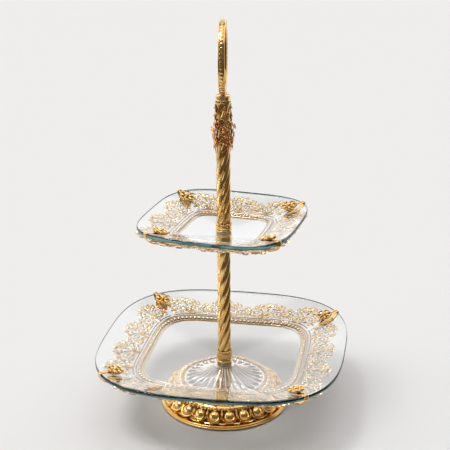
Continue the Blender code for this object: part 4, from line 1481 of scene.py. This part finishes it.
@dataclass
class Clip:
    """A clip at a corner: a leaf below the glass, a strap round its edge, a rosette above."""

    tier: Tier
    number: int
    angle: float
    strap: float = 3.0 * MM     # half width of the strap
    leaf_wide: float = 6.9 * MM
    lift: float = 0.8 * MM
    reach: float = 22.5 * MM
    inset: float = 18.0 * MM
    petals: int = 6
    growth: tuple = (1.18, 1.18, 1.3)   # from the rosette as drawn

    def build(self) -> None:
        """Build the strap with its leaf, and the rosette on its inner end."""
        self.out, self.side = outward(self.angle), sideways(self.angle)
        self.build_strap()
        self.build_rosette()

    def on_glass(self, points: Array) -> Array:
        """Stand the rosette's points on the glass, a little larger than they are drawn.

        Args:
            points: X outwards along the slope, Y across it and Z off the glass.

        Returns:
            The points where they stand.
        """
        radius = self.tier.edge(self.angle) - self.inset
        step = 0.5 * MM
        slope = float(self.over(radius + step) - self.over(radius - step)) / (2 * step)
        along = unit(self.out + slope * UP)
        up = np.cross(along, self.side)
        low = radius * self.out + float(self.over(radius)) * UP + up * (self.lift + 1.5 * MM)
        grown = points * self.growth
        return low + grown[:, :1] * along + grown[:, 1:2] * self.side + grown[:, 2:] * up

    def over(self, radius: Array) -> Array:
        """Return the height of the glass at a radius below the clip."""
        return self.tier.glass_top(radius * self.out[0], radius * self.out[1])

    def under(self, radius: Array) -> Array:
        """Return the height of the frame at a radius below the clip."""
        return self.tier.frame_top(radius * self.out[0], radius * self.out[1])

    def build_strap(self) -> None:
        """Carry a crowned section along the strap, which widens into a leaf below."""
        tier = self.tier
        edge = tier.edge(self.angle)
        start = float(tier.frame_track.radius(tier.opening + tier.band,
                                              np.array(self.angle))) + 1.2 * MM
        rim = float(self.over(edge))
        span = edge - start
        knots, widths = [], []
        for share, half in ((0.36, 0.10), (0.46, 0.5), (0.58, 0.92), (0.72, 0.95),
                            (0.88, 0.62)):
            radius = start + span * share
            knots.append((radius, float(self.under(radius)) + (1.9 * share - 2.3) * MM))
            widths.append(self.leaf_wide * half)
        knots += [(edge + 0.3 * MM, rim - tier.wall - 1.1 * MM),
                  (edge + 0.8 * MM, rim - tier.wall / 2), (edge + 0.3 * MM, rim + 0.7 * MM)]
        for share in (0.12, 0.5, 1.0):
            radius = edge - self.reach * share
            knots.append((radius, float(self.over(radius)) + 1.1 * MM))
        widths += [self.strap] * 5 + [self.strap * 0.9]
        line = flow(np.column_stack([knots, widths]), 100)
        path = line[:, :1] * self.out + line[:, 1:2] * UP
        half = line[:, 2]
        along = unit(np.gradient(path, axis=0))
        off = np.cross(along, self.side)
        off = off * np.sign(np.sum(off * self.away(line), 1))[:, None]
        turn = np.linspace(0.0, TAU, 16, endpoint=False)[None]
        flat = np.sign(np.cos(turn)) * np.abs(np.cos(turn)) ** 0.6
        crown = np.sin(turn) * (0.45 * MM) + (np.sin(turn) > 0) * 0.35 * MM * (1 - flat**2)
        rib = 0.5 * MM * (np.sin(turn) > 0) * np.cos(2.5 * math.pi * flat) * \
            ease(self.strap + 0.5 * MM, self.leaf_wide, half)[:, None]
        grid = path[:, None] + (half[:, None] * flat)[..., None] * self.side \
            + (crown + rib)[..., None] * off[:, None]
        # Painted shade in the grooves between the leaf's ribs.
        sunk = np.clip(-rib / (0.5 * MM), 0.0, 1.0) * 0.8
        shell = Shell()
        shell.add(grid, sunk=sunk)
        name = "%s_clip_%d" % (tier.name, self.number)
        tier.finish(shell, name + "_strap", POLISHED, Slot.GOLD, name)

    def away(self, line: Array) -> Array:
        """Return the side away from the glass: down below it, out at its edge, up above.

        Args:
            line: Rows of radius, height and half width along the strap.

        Returns:
            A direction for each row.
        """
        edge = self.tier.edge(self.angle)
        radius = line[:, :1]
        height = line[:, 1:2] - self.over(np.minimum(radius, edge)) + self.tier.wall / 2
        beyond = (radius > edge) * (radius - edge) * 2.0
        return beyond * self.out + height * UP

    def build_rosette(self) -> None:
        """Cast the rosette: a plate in painted shade below a ring of loops, ribs between them and
        an eye.
        """
        flat = Shell()
        angle = np.linspace(0.0, TAU, 48, endpoint=False)[:, None]
        plate = np.array([(0.5, 0.0), (6.6, 0.0), (7.0, 0.4), (6.6, 0.7), (0.5, 0.7)]) * MM
        # Painted shade: the plate below the loops takes the deep colour in full.
        flat.add(outward(angle[:, 0])[:, None] * plate[None, :, :1] + UP * plate[None, :, 1:],
                 ring=True, sunk=1.0)
        turns = np.arange(self.petals) * 360.0 / self.petals
        rib = leaf(7, 8, 1.3, 0.22, 0.0, 0.9)
        flat.strew(rib, [(0.8 * math.cos(turn), 0.8 * math.sin(turn), 1.5,
                          math.degrees(turn), 6.6, 1.25, 0.0) for turn in np.radians(turns)])
        lobe = np.linspace(0.0, TAU, 14, endpoint=False)
        arc = np.stack([np.cos(lobe) * 2.75, np.sin(lobe) * 2.5, 0.35 * np.cos(lobe)], -1) * MM
        between = np.radians(turns + 180.0 / self.petals)
        out, across = outward(between), sideways(between)
        flat.copies(tube(arc, 0.85 * MM, 7, closed=True), out * 5.3 * MM + UP * 1.7 * MM, out,
                    across, np.broadcast_to(UP, out.shape), ring=True, sunk=0.05)
        for spots, spread, size, high in ((np.radians(turns), 7.0, 1.15, 1.5),
                                          (np.zeros(1), 0.0, 2.1, 2.1)):
            places = (outward(spots) * spread + UP * high) * MM
            flat.dots(ball(6, 9), places, size * MM)
        name = "%s_rosette_%d" % (self.tier.name, self.number)
        self.tier.finish(flat.moved(self.on_glass), name + "_cast", POLISHED, Slot.GOLD, name)


# --- The studio -------------------------------------------------------------------

@dataclass
class Studio:
    """A pale table, a soft studio all round and the camera."""

    camera_place: tuple = (0.2105, -1.1452, 0.6633)
    camera_aim: tuple = (0.00147, 0.00028, 0.2272)
    roll: float = -0.005
    lens: float = 86.31
    table: float = 14.0
    painted_reflection_reach: tuple = (0.26, 0.60)     # reach over which reflections of the table fade into painted dark
    # colour of the painted dark reflection that glossy rays see in place of the far table
    painted_reflection_colour: tuple = (0.11, 0.085, 0.062)
    pale: tuple = (0.775, 0.772, 0.775)
    dark: tuple = (0.17, 0.15, 0.13)
    back_wall: tuple = (1.15, 1.15, 1.18)
    left_wall: tuple = (1.30, 1.28, 1.24)
    walls_top: tuple = (0.72, 0.55)
    ceiling: tuple = (1.50, 1.49, 1.47)
    key_power: float = 0.95
    key_spread: float = math.radians(18.0)
    key_turn: tuple = (math.radians(10.0), math.radians(-22.0), 0.0)
    sensor: float = 36.0

    def build(self) -> None:
        """Set up the table, the light and the camera."""
        self.build_table()
        self.build_light()
        self.build_camera()

    def build_table(self) -> None:
        """Lay the pale table, wide enough to fill the view, with a painted dark reflection that
        only glossy rays see.
        """
        mesh = bpy.data.meshes.new("table")
        h = self.table
        mesh.from_pydata([(-h, -h, 0.0), (h, -h, 0.0), (h, h, 0.0), (-h, h, 0.0)], [],
                         [(0, 1, 2, 3)])
        finish = bpy.data.materials.new("pale_table")
        finish.use_nodes = True
        tree = finish.node_tree
        shader = tree.nodes["Principled BSDF"]
        shader.inputs["Base Color"].default_value = (*self.pale, 1.0)
        shader.inputs["Roughness"].default_value = 0.9
        shader.inputs["Specular IOR Level"].default_value = 0.0
        path = tree.nodes.new("ShaderNodeLightPath")
        place = tree.nodes.new("ShaderNodeNewGeometry")
        split = tree.nodes.new("ShaderNodeSeparateXYZ")
        far = tree.nodes.new("ShaderNodeVectorMath")
        far.operation = "LENGTH"
        tree.links.new(place.outputs["Position"], far.inputs[0])
        tree.links.new(place.outputs["Position"], split.inputs["Vector"])
        # Painted reflection: glossy rays see a dim glow in place of the table, far from the stand
        # on the camera's side, sooner to the right.
        lean = self.reckon(tree, split.outputs["X"], 0.6)
        reach = self.reckon(tree, far.outputs["Value"], lean, "ADD")
        past = self.reckon(tree, self.rise(tree, reach, *self.painted_reflection_reach),
                          self.rise(tree, split.outputs["Y"], 0.45, 0.10))
        painted_reflection = tree.nodes.new("ShaderNodeEmission")
        painted_reflection.inputs["Color"].default_value = (*self.painted_reflection_colour, 1.0)
        mixed = tree.nodes.new("ShaderNodeMixShader")
        tree.links.new(self.reckon(tree, past, path.outputs["Is Glossy Ray"]), mixed.inputs[0])
        tree.links.new(shader.outputs["BSDF"], mixed.inputs[1])
        tree.links.new(painted_reflection.outputs["Emission"], mixed.inputs[2])
        tree.links.new(mixed.outputs["Shader"],
                       tree.nodes["Material Output"].inputs["Surface"])
        mesh.materials.append(finish)
        table = bpy.data.objects.new("table", mesh)
        bpy.context.scene.collection.objects.link(table)

    @staticmethod
    def rise(tree: bpy.types.NodeTree, source: bpy.types.NodeSocket, low: float,
             high: float) -> bpy.types.NodeSocket:
        """Ease a value from 0 at low to 1 at high.

        Args:
            tree: The nodes.
            source: The value's socket.
            low: Where it starts, which may be above high.
            high: Where it ends.

        Returns:
            The eased value's socket.
        """
        node = tree.nodes.new("ShaderNodeMapRange")
        node.interpolation_type = "SMOOTHSTEP"
        falls = low > high
        node.inputs["From Min"].default_value = min(low, high)
        node.inputs["From Max"].default_value = max(low, high)
        node.inputs["To Min"].default_value = 1.0 if falls else 0.0
        node.inputs["To Max"].default_value = 0.0 if falls else 1.0
        tree.links.new(source, node.inputs["Value"])
        return node.outputs["Result"]

    @staticmethod
    def reckon(tree: bpy.types.NodeTree, first: bpy.types.NodeSocket,
               second: bpy.types.NodeSocket | float, work: str = "MULTIPLY",
               ) -> bpy.types.NodeSocket:
        """Multiply a value by another, or do other work on them.

        Args:
            tree: The nodes.
            first: The first value's socket.
            second: The second value's socket, or a number.
            work: What the math node does.

        Returns:
            The result's socket.
        """
        node = tree.nodes.new("ShaderNodeMath")
        node.operation = work
        tree.links.new(first, node.inputs[0])
        if isinstance(second, float):
            node.inputs[1].default_value = second
        else:
            tree.links.new(second, node.inputs[1])
        return node.outputs[0]

    def build_light(self) -> None:
        """Light from above, behind and the left; the room is dark on the camera's side."""
        world = bpy.data.worlds.new("studio")
        bpy.context.scene.world = world
        world.use_nodes = True
        tree = world.node_tree
        tree.nodes.clear()
        place = tree.nodes.new("ShaderNodeTexCoord")
        split = tree.nodes.new("ShaderNodeSeparateXYZ")
        tree.links.new(place.outputs["Generated"], split.inputs["Vector"])
        x, y, z = (split.outputs[k] for k in range(3))

        glow = self.dark
        for across, start, end, colour in ((y, 0.15, 0.45, self.back_wall),
                                           (x, -0.55, -0.75, self.left_wall)):
            wall = self.reckon(tree, self.rise(tree, across, start, end),
                               self.rise(tree, z, *self.walls_top))
            glow = Finish.blend(tree, wall, glow, colour)
        glow = Finish.blend(tree, self.rise(tree, z, 0.78, 0.86), glow, self.ceiling)
        light = tree.nodes.new("ShaderNodeBackground")
        light.inputs["Strength"].default_value = 1.0
        tree.links.new(glow, light.inputs["Color"])
        out = tree.nodes.new("ShaderNodeOutputWorld")
        tree.links.new(light.outputs["Background"], out.inputs["Surface"])
        sun = bpy.data.lights.new("key", "SUN")
        sun.energy = self.key_power
        sun.angle = self.key_spread
        lamp = bpy.data.objects.new("key", sun)
        lamp.rotation_euler = self.key_turn
        scene = bpy.context.scene
        scene.collection.objects.link(lamp)
        scene.view_settings.view_transform = "Standard"

    def build_camera(self) -> None:
        """Stand the camera in front, a little to the right, looking down at the stand."""
        data = bpy.data.cameras.new("camera")
        data.lens = self.lens
        data.sensor_width = self.sensor
        camera = bpy.data.objects.new("camera", data)
        place, aim = Vector(self.camera_place), Vector(self.camera_aim)
        turn = (aim - place).to_track_quat("-Z", "Y").to_matrix().to_4x4()
        camera.matrix_world = Matrix.Translation(place) @ turn @ Matrix.Rotation(self.roll, 4, "Z")
        bpy.context.scene.collection.objects.link(camera)
        bpy.context.scene.camera = camera


# --- The whole stand ----------------------------------------------------------------

BOTTOM = Tier("bottom", 145.0 * MM, 3.07, 0.0, 87.7 * MM, 10.9 * MM, 132.7 * MM, 4,
              (39.0, 133.8, 221.2, 313.0), 5.4 * MM, 2.2 * MM, 2.0 * MM)
TOP = Tier("top", 90.0 * MM, 3.54, math.radians(-7.7), 44.8 * MM, 9.0 * MM, 88.0 * MM, 3,
           (43.0, 139.0, 232.0, 323.0), 3.9 * MM, 1.6 * MM, 1.7 * MM)


def dress_cad() -> None:
    """Give the CAD pieces that stay their finishes."""
    finishes = {"foot_felt": FELT, "tie_rod": ZINC, "rod_washer": ZINC, "rod_nut": ZINC,
                "cap_nut": ZINC, "bottom_gasket_lower": RING, "bottom_gasket_upper": RING,
                "top_gasket_lower": RING, "top_gasket_upper": RING}
    for node, finish in finishes.items():
        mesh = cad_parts[node].data
        mesh.materials.clear()
        mesh.materials.append(finish.material())
        log.info("%s: kept from the frame", node)


def main() -> None:
    """Build the stand from its foot to its handle, and the studio round it."""
    logging.basicConfig(level=logging.INFO, format="%(name)s %(message)s")
    Studio().build()
    dress_cad()
    Foot().build()
    Dome().build()
    Stem().build()
    Sprays().build()
    Handle().build()
    BOTTOM.build()
    TOP.build()


if __name__ == "__main__":
    main()
